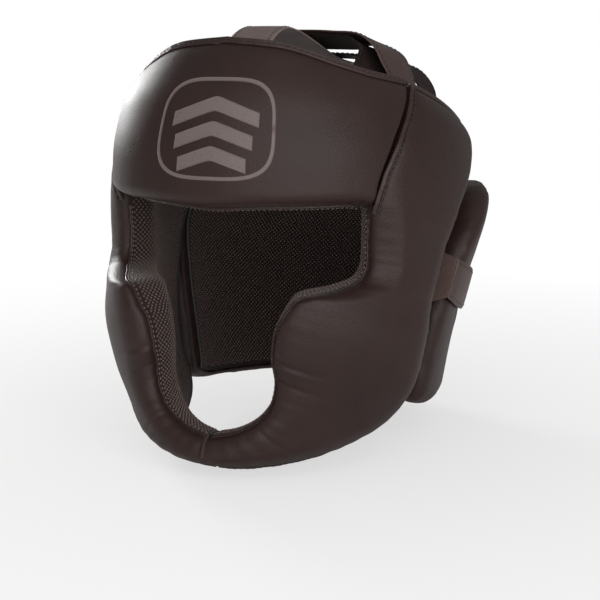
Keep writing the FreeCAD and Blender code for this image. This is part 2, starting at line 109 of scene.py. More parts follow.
def on_head(angle, z, depth):
    """Point a depth outside the head cavity, whose outline is a slightly squared ellipse:
    radius = ((sin / half width) ^ p + (cos / half depth) ^ p) ^ (-1 / p)."""
    half_width, front, back = smooth(HEAD_CAVITY, z)
    s, c = np.sin(np.radians(angle)), np.cos(np.radians(angle))
    p = HEAD_SQUARENESS
    radius = (np.abs(s / half_width) ** p + np.abs(c / np.where(c > 0, front, back)) ** p) ** (-1 / p)
    radius = radius + depth
    return np.stack(np.broadcast_arrays(radius * s, -radius * c, z), axis=-1)


def pucker(along, away, height=0.3, reach=7.0, phase=0.0):
    """Gathering of leather beside a row of stitches: three waves along it, fading with distance."""
    waves = np.sin(along / 1.9 + phase) + 0.8 * np.sin(along / 3.1 + 2.1 * phase + 1)
    waves = waves + 0.7 * np.sin(along / 5.7 + 3.3 * phase + 2)
    return height * waves / 2.5 * np.exp(-np.maximum(away, 0) / reach)


def seam_angle(up):
    """Angle at which the brow panel ends, at a share of its height."""
    seam_z = BROW_SEAM[0][0] + (BROW_SEAM[-1][0] - BROW_SEAM[0][0]) * up
    return smooth(BROW_SEAM, seam_z)[0] - SEAM_GAP


def brow_place(across, up):
    """Angle, height, rim and lower edge on the brow panel; across is -1 to 1 and up is 0 to 1."""
    angle = across * seam_angle(up)
    rim, lower = smooth(BROW_EDGES, np.abs(angle))
    return angle, lower + (rim - lower) * up, rim, lower


def brow_outer(across, up):
    """Outer face: full padding, rolled down to the lower edge, the crown rim and the seams, with
    gathers beside the stitches and a slow unevenness of the foam."""
    angle, z, rim, lower = brow_place(across, up)
    rise, fall = roll(z - lower, BROW_LOWER_ROLL), roll(rim - z, BROW_RIM_ROLL)
    taper = BROW_TAPER * np.abs(across) ** 3
    depth = (FULL_PADDING - taper) * rise * fall + BROW_LOWER_DEPTH * (1 - rise)
    depth = depth + (BROW_RIM_DEPTH - taper) * (1 - fall)
    from_seam = (1 - np.abs(across)) * BROW_HALF_LENGTH
    depth = depth - SEAM_DIP * (1 - roll(from_seam, SEAM_ROLL, 2.0)) * rise
    depth = depth + pucker(z, from_seam, 0.22) + pucker(angle * 2, z - lower, 0.35, 9, 1)
    depth = depth + pucker(angle * 2, rim - z, 0.2, 6, 2)
    depth = depth + 0.35 * np.sin(angle / 11 + 1) * np.sin(z / 19 + angle / 17)
    return on_head(angle, z + BROW_SLANT * (1 - rise), depth)


def brow_inner(across, up):
    """Inner face: the head cavity's own surface."""
    angle, z, _, _ = brow_place(across, up)
    return on_head(angle, z, 0)


def unit(v):
    """Vectors brought to unit length."""
    return v / np.maximum(np.linalg.norm(v, axis=-1, keepdims=True), 1e-9)


def normals(points):
    """Unit normals of a grid of points, from the cross product of its two differences."""
    return unit(np.cross(np.gradient(points, axis=0), np.gradient(points, axis=1)))


def soften(points, corners, radius, passes=60):
    """Rounds the given corner columns of every section of a grid by diffusion.  The share moved
    on each pass is set from the spacing, so that the rounding is the same in millimetres."""
    columns = np.arange(points.shape[1])
    for _ in range(passes):
        ahead = np.roll(points, -1, axis=1)
        behind = np.roll(points, 1, axis=1)
        spacing = np.linalg.norm(ahead - behind, axis=-1, keepdims=True) / 2
        weight = np.zeros(points.shape[:2])
        for corner in corners:
            near = np.abs(columns - corner)[None, :] * spacing[..., 0]
            weight = np.maximum(weight, np.exp(-(near / (2.2 * radius)) ** 4))
        share = np.minimum(2 * (radius / np.maximum(spacing, 1e-3)) ** 2 / passes, 0.9)
        moved = points + share * weight[..., None] * ((ahead + behind) / 2 - points)
        moved[:, 0], moved[:, -1] = points[:, 0], points[:, -1]
        points = moved
    return points


def into_pad(inner, stations, edge):
    """Directions along the inner face from an edge (share 0 or 1) towards the middle of the pad."""
    step = 0.03 if edge < 0.5 else -0.03
    return unit(inner(stations, edge + step) - inner(stations, edge))


def wall(outer, inner, stations, edge, near, far, columns):
    """Straight lines on the wall at an edge, from a distance near to a distance far below the
    outer face.  A negative far is measured from the inner face.  The far end dives into the pad."""
    top, foot = outer(stations, edge)[:, None], inner(stations, edge)[:, None]
    length = np.linalg.norm(foot - top, axis=-1, keepdims=True)
    start = near / length
    stop = far / length if far > 0 else 1 + far / length
    t = start + (stop - start) * np.linspace(0, 1, columns)[None, :, None]
    dive = np.exp(-np.abs(t - stop) * length / CREASE_REACH)
    return top + (foot - top) * t + into_pad(inner, stations, edge)[:, None] * CREASE_DEPTH * dive


def quads(rows, columns, wrap_columns=False):
    """Corner numbers of the quads of a grid, closed round its columns where asked."""
    number = np.arange(rows * columns).reshape(rows, columns)
    if wrap_columns:
        number = np.hstack([number, number[:, :1]])
    corners = (number[:-1, :-1], number[1:, :-1], number[1:, 1:], number[:-1, 1:])
    return np.stack(corners, axis=-1).reshape(-1, 4)


def new_piece(name, points, faces, material, uv=None):
    """A mesh object from points in millimetres and quads, with its faces turned outwards by the
    sign of its volume, which is the sum of the corner triple products."""
    a, b, c, d = (points[faces[:, i]] for i in range(4))
    volume = np.sum(a * np.cross(b, c)) + np.sum(a * np.cross(c, d))
    if volume < 0:
        faces = faces[:, ::-1]
    mesh = bpy.data.meshes.new(name)
    mesh.vertices.add(len(points))
    mesh.vertices.foreach_set("co", (points * MM).ravel())
    mesh.loops.add(faces.size)
    mesh.loops.foreach_set("vertex_index", faces.ravel().astype(np.int32))
    mesh.polygons.add(len(faces))
    mesh.polygons.foreach_set("loop_start", np.arange(0, faces.size, 4, dtype=np.int32))
    mesh.polygons.foreach_set("use_smooth", np.ones(len(faces), bool))
    mesh.update(calc_edges=True)
    if uv is not None:
        layer = mesh.uv_layers.new(name="UVMap")
        layer.data.foreach_set("uv", (uv[faces.ravel()] * MM).ravel())
    mesh.validate()
    piece = bpy.data.objects.new(name, mesh)
    bpy.context.scene.collection.objects.link(piece)
    mesh.materials.append(material)
    return piece


def closed_sheet(name, face, back, material):
    """A closed piece from two grids of the same size, joined along their four borders."""
    rows, columns = face.shape[:2]
    count = rows * columns
    front = quads(rows, columns)
    number = np.arange(count).reshape(rows, columns)
    rim = np.concatenate([number[0], number[1:, -1], number[-1, -2::-1], number[-2:0:-1, 0]])
    following = np.roll(rim, -1)
    border = np.stack([rim, rim + count, following + count, following], axis=-1)
    faces = np.concatenate([front, front[:, ::-1] + count, border])
    points = np.concatenate([face.reshape(-1, 3), back.reshape(-1, 3)])
    return new_piece(name, points, faces, material)


def outward_normals(face):
    """Unit normals of a sheet on the side that faces away from the sheet's own middle."""
    n = normals(face)
    return n if np.sum(n * (face - face.reshape(-1, 3).mean(axis=0))) >= 0 else -n


def slab(name, face, thickness, material):
    """A sheet of even thickness behind a grid of points, closed round its border.  A positive
    thickness lies on the side of the sheet's own middle, a negative one on the far side."""
    return closed_sheet(name, face, face - outward_normals(face) * thickness, material)


def fitted(piece, body, finish, *nodes):
    """Sets a piece on its body, in place of the nodes that it stands for.  The finish is not used."""
    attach(piece, body)
    if nodes:
        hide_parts(*nodes)
    return piece


def srgb(red, green, blue):
    """Linear colour from 8-bit display values."""
    c = np.array([red, green, blue]) / 255
    linear = np.where(c <= 0.04045, c / 12.92, ((c + 0.055) / 1.055) ** 2.4)
    return (*linear, 1.0)


def node(tree, kind, **settings):
    """A shader node with its settings and input values."""
    made = tree.nodes.new(kind)
    for key, value in settings.items():
        if key in made.inputs:
            made.inputs[key].default_value = value
        else:
            setattr(made, key, value)
    return made


def group_tree(name, inputs, outputs):
    """A shader node group with float inputs {name: value} and float outputs."""
    tree = bpy.data.node_groups.new(name, "ShaderNodeTree")
    for label, value in inputs.items():
        socket = tree.interface.new_socket(label, in_out="INPUT", socket_type="NodeSocketFloat")
        socket.default_value = value
    for label in outputs:
        tree.interface.new_socket(label, in_out="OUTPUT", socket_type="NodeSocketFloat")
    return tree, tree.nodes.new("NodeGroupInput"), tree.nodes.new("NodeGroupOutput")


def remapped(tree, value, source=(0.0, 1.0), target=(0.0, 1.0)):
    """Output of a node that carries a value from a source range to a target range."""
    made = node(tree, "ShaderNodeMapRange")
    for label, limit in zip(("From Min", "From Max", "To Min", "To Max"), (*source, *target)):
        made.inputs[label].default_value = limit
    tree.links.new(value, made.inputs["Value"])
    return made.outputs["Result"]


def leather_grain_group():
    """Fine pebbled grain over soft creases.  Height is creases minus pebbles, Mottle is the slow
    change of tone, and the third output is where the surface stands proud: worn and polished on
    the leather pieces, and painted highlight on the lining's dots."""
    inputs = {"Pebbles": 1150, "Creases": 0.35}
    tree, given, out = group_tree("leather_grain", inputs, ("Height", "Mottle", "Rub_and_shine"))
    link = tree.links.new
    place = node(tree, "ShaderNodeTexCoord").outputs["Object"]
    pebble = node(tree, "ShaderNodeTexVoronoi", feature="SMOOTH_F1", Smoothness=0.6)
    link(place, pebble.inputs["Vector"])
    link(given.outputs["Pebbles"], pebble.inputs["Scale"])
    crease = node(tree, "ShaderNodeTexNoise", Scale=110.0, Detail=5.0, Roughness=0.6, Distortion=0.4)
    link(place, crease.inputs["Vector"])
    weighted = node(tree, "ShaderNodeMath", operation="MULTIPLY")
    link(crease.outputs["Fac"], weighted.inputs[0])
    link(given.outputs["Creases"], weighted.inputs[1])
    height = node(tree, "ShaderNodeMath", operation="SUBTRACT")
    link(weighted.outputs[0], height.inputs[0])
    link(pebble.outputs["Distance"], height.inputs[1])
    link(height.outputs[0], out.inputs["Height"])
    mottle = node(tree, "ShaderNodeTexNoise", Scale=26.0, Detail=3.0)
    link(place, mottle.inputs["Vector"])
    link(mottle.outputs["Fac"], out.inputs["Mottle"])
    proud = node(tree, "ShaderNodeNewGeometry").outputs["Pointiness"]
    link(remapped(tree, proud, (0.53, 0.66)), out.inputs["Rub_and_shine"])
    return tree


LEATHER_GRAIN = leather_grain_group()


def blank_material(name, roughness, specular, sheen=0.0):
    """A new material with uniform gloss and sheen set on its shader: (material, tree, shader)."""
    material = bpy.data.materials.new(name)
    material.use_nodes = True
    shader = material.node_tree.nodes["Principled BSDF"]
    shader.inputs["Roughness"].default_value = roughness
    shader.inputs["Specular IOR Level"].default_value = specular
    shader.inputs["Sheen Weight"].default_value = sheen
    return material, material.node_tree, shader


def blend_colours(tree, share, first, second):
    """Output of a mix of two colours, each given as a colour or as a socket."""
    mix = node(tree, "ShaderNodeMix", data_type="RGBA")
    tree.links.new(share, mix.inputs[0])
    for socket, colour in ((mix.inputs[6], first), (mix.inputs[7], second)):
        if isinstance(colour, tuple):
            socket.default_value = colour
        else:
            tree.links.new(colour, socket)
    return mix.outputs[2]


def emboss(tree, shader, height, strength, distance):
    """Gives a shader the relief of a height, with a strength and a depth in metres."""
    relief = node(tree, "ShaderNodeBump", Strength=strength, Distance=distance)
    tree.links.new(height, relief.inputs["Height"])
    tree.links.new(relief.outputs["Normal"], shader.inputs["Normal"])


def leather(name, deep, plain, polish_and_shine, roughness=0.47, bump=0.35, pebbles=1150.0):
    """Synthetic leather: three tones from creases to the edges that stand proud, worn and polished
    on the leather pieces and painted highlight on the lining's dots; grain and satin gloss.
    """
    material, tree, shader = blank_material(name, roughness, 0.38)
    grain = node(tree, "ShaderNodeGroup", node_tree=LEATHER_GRAIN, Pebbles=pebbles)
    mottle = grain.outputs["Mottle"]
    tone = blend_colours(tree, remapped(tree, mottle, (0.3, 0.62)), deep, plain)
    # Lighter tone where the surface stands proud: wear on the leather pieces, painted highlight on the
    # lining's dots.
    wear_and_shine = blend_colours(tree, grain.outputs["Rub_and_shine"], tone, polish_and_shine)
    tree.links.new(wear_and_shine, shader.inputs["Base Color"])
    rough = remapped(tree, mottle, target=(roughness - 0.05, roughness + 0.08))
    tree.links.new(rough, shader.inputs["Roughness"])
    emboss(tree, shader, grain.outputs["Height"], bump, 0.0004)
    return material


COVER_LEATHER = leather("cover_leather", srgb(42, 26, 23), srgb(50, 32, 28), srgb(74, 55, 51))


LEATHER_TURN = 4.0           # how far the cover turns over the wall of the face opening
LEATHER_STOP = -2.4          # where it ends on the other walls, short of the inner face
COVER_CORNER = 2.2           # rounding of the cover where it turns over an edge


def cover_sheet(outer, inner, stations, shares, walls):
    """Sections of a cover, up the wall at the first edge, over the outer face and down the wall at
    the second, with rounded corners.  Walls gives where it ends on each wall, and its columns there."""
    face = outer(stations[:, None], shares[None, :])
    (first_end, first_columns), (second_end, second_columns) = walls
    first = wall(outer, inner, stations, shares[0], 0, first_end, first_columns + 1)[:, :0:-1]
    second = wall(outer, inner, stations, shares[-1], 0, second_end, second_columns + 1)[:, 1:]
    sheet = np.concatenate([first, face, second], axis=1)
    return soften(sheet, (first_columns, sheet.shape[1] - 1 - second_columns), COVER_CORNER)


brow_stations = np.linspace(-1, 1, 171)
brow_shares = np.linspace(0, 1, 61)
brow_walls = ((LEATHER_TURN, 6), (LEATHER_STOP, 14))
brow_sheet = cover_sheet(brow_outer, brow_inner, brow_stations, brow_shares, brow_walls)
brow_cover = slab("forehead_cover_leather", brow_sheet, COVER_THICKNESS, COVER_LEATHER)
fitted(brow_cover, "root", "cover_leather", "forehead_cover", "forehead_foam", "forehead_rim_cap")

# ---------------------------------------------------------------------------
# Side panels.  One long padded panel on each side runs from the crown rim,
# behind the eye, round the cheek protector and down to the middle of the chin.
# Leather over three blocks of foam; the right one is the left one mirrored.
# Each line of the table crosses the panel: angle, height and depth of its inner
# edge, the same of its outer edge, and the width and fullness of its inner roll.
# ---------------------------------------------------------------------------
SIDE_LINES = [
    (68.0, 71, 22, 125, 40, 12, 14, 2.2),
    (62.0, 58, 23, 119, 24, 12, 14, 2.2),
    (53.8, 38.5, 24, 108, 10, 12, 12, 2.2),
    (48.5, 20.5, 23, 98, -2, 11, 14, 2.0),
    (46.3, 3, 19.5, 92, -12, 11, 17, 1.4),
    (46.3, -11, 18, 87, -22, 11, 17, 1.25),
    (46.2, -21, 19, 84, -33, 11, 17, 1.25),
    (43.5, -30, 20.5, 81, -44, 11, 17, 1.4),
    (35.5, -34.2, 24, 78.5, -55, 11, 17, 1.8),
    (25.5, -36.7, 29.5, 76.5, -67, 11, 16, 2.2),
    (21.7, -44.5, 29, 75, -79, 11, 16, 2.3),
    (18.9, -57, 25.7, 73.8, -91, 11, 16, 2.3),
    (18.1, -71, 23.5, 71.5, -105.5, 11, 16, 2.3),
    (18.8, -84, 21.2, 65, -119, 10, 16, 2.3),
    (18.0, -94, 21, 52, -127, 9, 15, 2.3),
    (15.5, -102, 21, 38, -131, 9, 14, 2.3),
    (11.8, -108, 21, 24, -132.5, 11, 13, 2.3),
    (6.0, -113, 21, 12, -134, 12, 13, 2.3),
    (0.3, -115.5, 21, 0.3, -135, 12, 13, 2.3),
]
LAST_LINE = len(SIDE_LINES) - 1
CHEEK_PADDING, CHEEK_LINE, CHEEK_SPREAD = 5, 10.3, 2.6
SIDE_RIM_DROP, REAR_ROLL = 3.5, 28
LINE_SPACING = 21            # mean distance between the lines along the face opening
HEAD_RADIUS = 100            # mean radius of the head cavity, for widths of the panel
CHIN_FOLDS = [(11.9, 1.3), (12.7, 0.9), (15.6, 0.6)]     # line and depth of the folds below the cheek


def side_values(line):
    """Edge angles, heights, depths and roll of the side panel at a line number, 0 to 18."""
    rows = np.column_stack([np.arange(len(SIDE_LINES)), SIDE_LINES])
    return smooth(rows, line)


def side_width(line):
    """Width of the side panel across a line, from its change of angle and of height."""
    a0, z0, _, a1, z1 = side_values(line)[:5]
    return np.hypot(np.radians(a1 - a0) * HEAD_RADIUS, z1 - z0)


def side_depth(line, across, seam_dip=SEAM_DIP):
    """Depth of the outer face: full padding rolled down to both edges, fuller at the cheek, with
    folds that run in from the face opening and gathering beside the stitches."""
    _, _, depth0, _, _, depth1, inner_roll, fullness = side_values(line)
    width = side_width(line)
    rise = 1 - (1 - np.clip(across * width / inner_roll, 0, 1)) ** fullness
    fall = roll((1 - across) * width, np.minimum(REAR_ROLL, width / 2))
    full = FULL_PADDING - BROW_TAPER * (1 - roll(line, 6))
    full = full + CHEEK_PADDING * np.exp(-((line - CHEEK_LINE) / CHEEK_SPREAD) ** 2)
    full = full - SIDE_RIM_DROP * (1 - roll(line, 0.9))
    depth = full * rise * fall + depth0 * (1 - rise) + depth1 * rise * (1 - fall)
    near_seam = np.clip(4.2 - line, 0, 1)
    depth = depth - seam_dip * (1 - roll(across * width, SEAM_ROLL, 2.0)) * near_seam
    along = line * LINE_SPACING
    depth = depth + pucker(along, across * width, 0.45, 9)
    depth = depth + pucker(along, (1 - across) * width, 0.8, 12, 1.3)
    for centre, fold in CHIN_FOLDS:
        reach = np.clip(across * width / 3, 0, 1) * np.exp(-(across * width / 17) ** 2)
        bent = line - centre - 0.004 * across * width
        depth = depth - fold * reach * np.exp(-(bent / 0.11) ** 2)
    return depth + 0.4 * np.sin(line * 1.3 + 1) * np.sin(across * width / 17 + line / 2)


def side_place(line, across):
    """Angle and height on the side panel; across is 0 at the face opening and 1 at the outer edge."""
    a0, z0, _, a1, z1 = side_values(line)[:5]
    return a0 + (a1 - a0) * across, z0 + (z1 - z0) * across


def side_outer(line, across, seam_dip=SEAM_DIP):
    """Outer face of the left panel, dived by seam_dip beside the seam to the brow panel."""
    line, across = np.broadcast_arrays(np.asarray(line, float), np.asarray(across, float))
    return on_head(*side_place(line, across), side_depth(line, across, seam_dip))


def side_inner(line, across):
    """Inner face of the left panel: the head cavity's own surface."""
    line, across = np.broadcast_arrays(np.asarray(line, float), np.asarray(across, float))
    return on_head(*side_place(line, across), 0)


def mirrored(points):
    """The same points on the other side of the head."""
    return points * np.array([-1, 1, 1])


SIDES = (("left", np.copy), ("right", mirrored))


def capped(sheet, foot, rows=14, lowest=0.92):
    """Adds rows before the first section that run down the end wall, to a share of the way to its foot."""
    t = np.linspace(lowest, 0, rows + 1)[:-1, None, None]
    joined = np.concatenate([sheet[0] + (foot - sheet[0]) * t, sheet])
    return np.swapaxes(soften(np.swapaxes(joined, 0, 1), (rows,), COVER_CORNER), 0, 1)


side_stations = np.linspace(0, LAST_LINE, 301)
side_shares = np.linspace(0, 1, 61)
side_walls = ((LEATHER_TURN, 6), (LEATHER_STOP, 10))
side_sheet = cover_sheet(side_outer, side_inner, side_stations, side_shares, side_walls)
foot_shares = np.concatenate([np.zeros(6), side_shares, np.ones(10)])
side_sheet = capped(side_sheet, side_inner(0.0, foot_shares))
for side, turn in SIDES:
    cover = slab(side + "_side_cover_leather", turn(side_sheet), COVER_THICKNESS, COVER_LEATHER)
    parts = ("side_cover", "side_foam", "cheek_foam", "chin_foam", "outer_wall", "rim_cap")
    fitted(cover, "root", "cover_leather", *[side + "_" + part for part in parts])

# ---------------------------------------------------------------------------
# Linings.  A soft textile on the inside of every panel, brought over the wall
# of the face opening and sewn to the leather in a crease.  It is embossed all
# over with small shiny dots in offset rows, which grip the head.
# ---------------------------------------------------------------------------
LINING_THICKNESS = 1.4
LINING_CORNER = 4.0
DOT_PITCH, DOT_RADIUS, DOT_HEIGHT = 2.8, 0.8, 0.55
DOT_RINGS = ((1.0, -0.3), (0.62, 0.85))     # radius and height of each ring, as shares


def fibre_group():
    """Short fibres: Height is a fine noise, and Tone is half of it added to a slow change."""
    tree, given, out = group_tree("cloth_fibres", {"Threads": 900}, ("Height", "Tone"))
    place = node(tree, "ShaderNodeTexCoord").outputs["Object"]
    fibre = node(tree, "ShaderNodeTexNoise", Detail=3.0, Roughness=0.7)
    patch = node(tree, "ShaderNodeTexNoise", Scale=35.0, Detail=2.0)
    both = node(tree, "ShaderNodeMath", operation="MULTIPLY_ADD")
    both.inputs[1].default_value = 0.5
    for texture in (fibre, patch):
        tree.links.new(place, texture.inputs["Vector"])
    tree.links.new(given.outputs["Threads"], fibre.inputs["Scale"])
    tree.links.new(fibre.outputs["Fac"], both.inputs[0])
    tree.links.new(patch.outputs["Fac"], both.inputs[2])
    tree.links.new(fibre.outputs["Fac"], out.inputs["Height"])
    tree.links.new(both.outputs[0], out.inputs["Tone"])
    return tree


CLOTH_FIBRES = fibre_group()


def cloth(name, deep, plain, roughness=0.8, threads=900.0, sheen=0.2, bump=0.5):
    """Fibrous cloth: two tones, fibre relief and soft sheen."""
    material, tree, shader = blank_material(name, roughness, 0.25, sheen)
    fibres = node(tree, "ShaderNodeGroup", node_tree=CLOTH_FIBRES, Threads=threads)
    tree.links.new(blend_colours(tree, fibres.outputs["Tone"], deep, plain), shader.inputs["Base Color"])
    emboss(tree, shader, fibres.outputs["Height"], bump, 0.0003)
    return material


LINING_CLOTH = cloth("lining_cloth", srgb(26, 15, 13), srgb(40, 27, 24))
# The dots are toned much paler than the cloth and palest at their tips: painted highlight for the shine on
# their raised tops.
LINING_DOTS_PAINTED_SHINE = leather(
    "lining_dots", srgb(66, 51, 48), srgb(82, 66, 62), srgb(104, 88, 83), roughness=0.3, bump=0.1,
)


def lining_sheet(outer, inner, stations, shares, wall_columns):
    """Sections of a lining: a short hem under the leather, the wall of the opening from the crease
    down, and the inner face, with the corner between them well rounded."""
    face = inner(stations[:, None], shares[None, :])
    crease = LEATHER_TURN - 0.6
    hem = wall(outer, inner, stations, shares[0], LEATHER_TURN + 2.5, crease, 3)[:, ::-1]
    below = wall(outer, inner, stations, shares[0], crease + 0.1, -0.6, wall_columns)
    sheet = np.concatenate([hem[:, :2], below[:, 2:], face[:, 1:]], axis=1)
    return soften(sheet, (wall_columns,), LINING_CORNER)


def replicate(name, template, cells, centres, axes, sizes, material):
    """Many copies of a small form in one mesh: each template point p becomes
    centre + sum of p times size along each of the copy's three axes."""
    scaled = template[None] * sizes[:, None]
    points = centres[:, None] + np.einsum("npk,nkx->npx", scaled, axes)
    faces = cells[None] + np.arange(len(centres))[:, None, None] * len(template)
    return new_piece(name, points.reshape(-1, 3), faces.reshape(-1, 4), material)


def bead(rings):
    """A small closed form from rings of six points, each of a radius and a height, closed by two
    quads at each end."""
    turn = np.linspace(0, 2 * np.pi, 6, endpoint=False)
    ring = np.stack([np.cos(turn), np.sin(turn), np.zeros(6)], axis=-1)
    points = np.concatenate([ring * [r, r, 0] + [0, 0, h] for r, h in rings])
    lids = np.array([[0, 1, 2, 3], [0, 3, 4, 5]])
    cells = quads(len(rings), 6, wrap_columns=True)
    return points, np.concatenate([cells[:, ::-1], lids[:, ::-1], lids + (len(rings) - 1) * 6])


def lengths_along(points):
    """Distance of each point of a path from its start."""
    return np.concatenate([[0], np.cumsum(np.linalg.norm(np.diff(points, axis=0), axis=-1))])


def dotted(name, sheet, material):
    """Dots on the side of a lining sheet away from the pad, in offset rows a pitch apart.  The rows
    are lines across the sheet, placed by length along its middle, and so are the dots on each row."""
    n = -outward_normals(sheet)
    run = lengths_along(sheet[:, sheet.shape[1] // 2])
    places = np.arange(DOT_PITCH, run[-1] - DOT_PITCH, DOT_PITCH / 2)
    at = np.interp(places, run, np.arange(len(run)))
    low = np.minimum(at.astype(int), len(run) - 2)
    t = (at - low)[:, None, None]
    lines = sheet[low] * (1 - t) + sheet[low + 1] * t
    line_normals = n[low] * (1 - t) + n[low + 1] * t
    reach = np.cumsum(np.linalg.norm(np.diff(lines, axis=1), axis=-1), axis=1)
    reach = np.concatenate([np.zeros((len(lines), 1)), reach], axis=1)
    first = DOT_PITCH * (0.2 + 0.5 * (np.arange(len(lines)) % 2))
    spots = np.arange(0, reach[:, -1].max(), DOT_PITCH)[None] + first[:, None]
    below = np.sum(reach[:, None, :] <= spots[:, :, None], axis=-1) - 1
    on_sheet = below < lines.shape[1] - 1
    row = np.broadcast_to(np.arange(len(lines))[:, None], below.shape)[on_sheet]
    column = below[on_sheet]
    length = np.maximum(reach[row, column + 1] - reach[row, column], 1e-6)
    share = ((spots[on_sheet] - reach[row, column]) / length)[:, None]
    here, following = lines[row, column], lines[row, column + 1]
    lift = unit(line_normals[row, column])
    side = unit(np.cross(lift, following - here))
    axes = np.stack([side, np.cross(side, lift), lift], axis=1)
    centres = here * (1 - share) + following * share
    points, cells = bead(DOT_RINGS)
    sizes = np.broadcast_to(np.array([DOT_RADIUS, DOT_RADIUS, DOT_HEIGHT]), (len(centres), 3))
    return replicate(name, points, cells, centres, axes, sizes, material)


def line_panel(name, sheet, *nodes):
    """The cloth of a panel's lining in place of its nodes, and the dots on it."""
    cloth_sheet = slab(name + "_lining_cloth", sheet, -LINING_THICKNESS, LINING_CLOTH)
    fitted(cloth_sheet, "root", "lining_fabric", *nodes)
    dots = dotted(name + "_lining_dots", sheet[:, 2:-3], LINING_DOTS_PAINTED_SHINE)
    fitted(dots, "root", "lining_fabric")


lining_shares = np.linspace(0, 1, 45)
brow_lining = lining_sheet(brow_outer, brow_inner, np.linspace(-1, 1, 121), lining_shares, 10)
line_panel("forehead", brow_lining, "forehead_lining", "forehead_brow_wall")
side_lining = lining_sheet(side_outer, side_inner, np.linspace(0, LAST_LINE, 241), lining_shares, 12)
for side, turn in SIDES:
    line_panel(side + "_side", turn(side_lining), side + "_side_lining", side + "_face_wall")

# ---------------------------------------------------------------------------
# Edge bindings and seam strips.  Narrow tapes of the same leather, folded over
# the crown rim, hemming the lower edges, and laid over the seams between the
# panels.  The tapes are sewn down with dark thread, the linings with pale thread.
# ---------------------------------------------------------------------------
BINDING_WIDTH, BINDING_THICKNESS, BINDING_LEAN = 4.0, 2.2, 0.55
PIPING_WIDTH = 1.5
HEM_WIDTH, HEM_THICKNESS = 4.6, 2.0
STRIP_WIDTH, STRIP_THICKNESS, STRIP_MIDDLE = 2.6, 2.4, 1.15      # its middle from the panel's edge
TRIM_STITCH = (3.6, 2.7, 0.75)          # pitch, length and thickness
SEAM_STITCH = (3.4, 2.7, 0.75)
LINING_STITCH = (2.8, 1.7, 0.8)
STITCH_RINGS = ((0.35, -1.0), (0.9, -0.6), (1.0, 0.0), (0.9, 0.6), (0.35, 1.0))
TRIM_LEATHER = leather("trim_leather", srgb(48, 33, 30), srgb(60, 44, 41), srgb(104, 90, 87), roughness=0.38)
DARK_THREAD = cloth("dark_thread", srgb(30, 22, 21), srgb(46, 37, 35), roughness=0.6, threads=2600.0)
PALE_THREAD = cloth("pale_thread", srgb(84, 71, 67), srgb(112, 98, 93), roughness=0.55, threads=2600.0)


def band(name, path, across, lift, width, thickness, material, waist=0.0):
    """A band carried along a path: at each point a rounded rectangle of the given width (along
    across) and thickness (along lift), drawn in along its middle by the waist, closed at both ends."""
    turn = np.linspace(0, 2 * np.pi, 28, endpoint=False)
    w = np.sign(np.cos(turn)) * np.abs(np.cos(turn)) ** 0.45 * 0.5
    h = np.sign(np.sin(turn)) * np.abs(np.sin(turn)) ** 0.8 * 0.5
    h = h * (1 - waist * np.exp(-(w / 0.13) ** 2))
    width = np.broadcast_to(np.asarray(width, float), (len(path),))
    ring = path[:, None] + across[:, None] * (w[None, :] * width[:, None])[..., None]
    ring = ring + lift[:, None] * (h * thickness)[None, :, None]
    count = len(turn)
    k = np.arange(count // 2 - 1)
    lid = np.stack([k, k + 1, count - 2 - k, (count - 1 - k) % count], axis=-1)
    far_lid = (lid + (len(path) - 1) * count)[:, ::-1]
    faces = np.concatenate([quads(len(path), count, wrap_columns=True), lid, far_lid])
    uv = np.stack(np.broadcast_arrays(lengths_along(path)[:, None], w[None, :] * width[:, None]), axis=-1)
    return new_piece(name, ring.reshape(-1, 3), faces, material, uv.reshape(-1, 2))


def resampled(points, lift, step):
    """Points along a path at an even step, the direction of travel there, and the lift there."""
    run = lengths_along(points)
    count = max(int(run[-1] / step), 2)
    at = (np.arange(count) + 0.5) * run[-1] / count

    def carried(vectors, places):
        """Vectors of the path at the given lengths from its start."""
        return np.stack([np.interp(places, run, vectors[:, k]) for k in range(3)], axis=-1)

    ahead = unit(carried(points, at + 0.5) - carried(points, at - 0.5))
    return carried(points, at), ahead, carried(lift, at)


def stitches(name, path, lift, material, body, size=TRIM_STITCH, finish="trim_leather"):
    """A row of lock stitches: short rounded lengths of thread, each sunk at both ends."""
    pitch, length, thickness = size
    centres, ahead, up = resampled(path, lift, pitch)
    side = unit(np.cross(ahead, up))
    up = unit(np.cross(side, ahead))
    points, cells = bead(STITCH_RINGS)
    points = points[:, [2, 0, 1]]
    axes = np.stack([ahead, side, up], axis=1)
    sizes = np.broadcast_to(np.array([length / 2, thickness / 2, thickness / 2]), (len(centres), 3))
    row = replicate(name, points, cells, centres, axes, sizes, material)
    return fitted(row, body, finish)


def lifted(path, across, outward):
    """Directions square to a path and to the directions across it, on the side of outward."""
    lift = unit(np.cross(across, np.gradient(path, axis=0)))
    return lift * np.sign(np.sum(lift * outward, axis=-1, keepdims=True))


def bind_rim(panel, top, foot, up):
    """Crown rim: a binding that stands along the wall's top edge, leaning in, with a stitched waist."""
    inward = unit(foot - top)
    leaning = unit(up + BINDING_LEAN * inward)
    path = top + inward * 1.7 + up * 0.9
    lift = lifted(path, leaning, -inward)
    name = panel + "_rim_binding_tape"
    tape = band(name, path, leaning, lift, BINDING_WIDTH, BINDING_THICKNESS, TRIM_LEATHER, waist=0.35)
    fitted(tape, "root", "trim_leather", panel + "_rim_binding")
    stitches(panel + "_rim_stitches", path + lift * 0.75, lift, DARK_THREAD, "root")


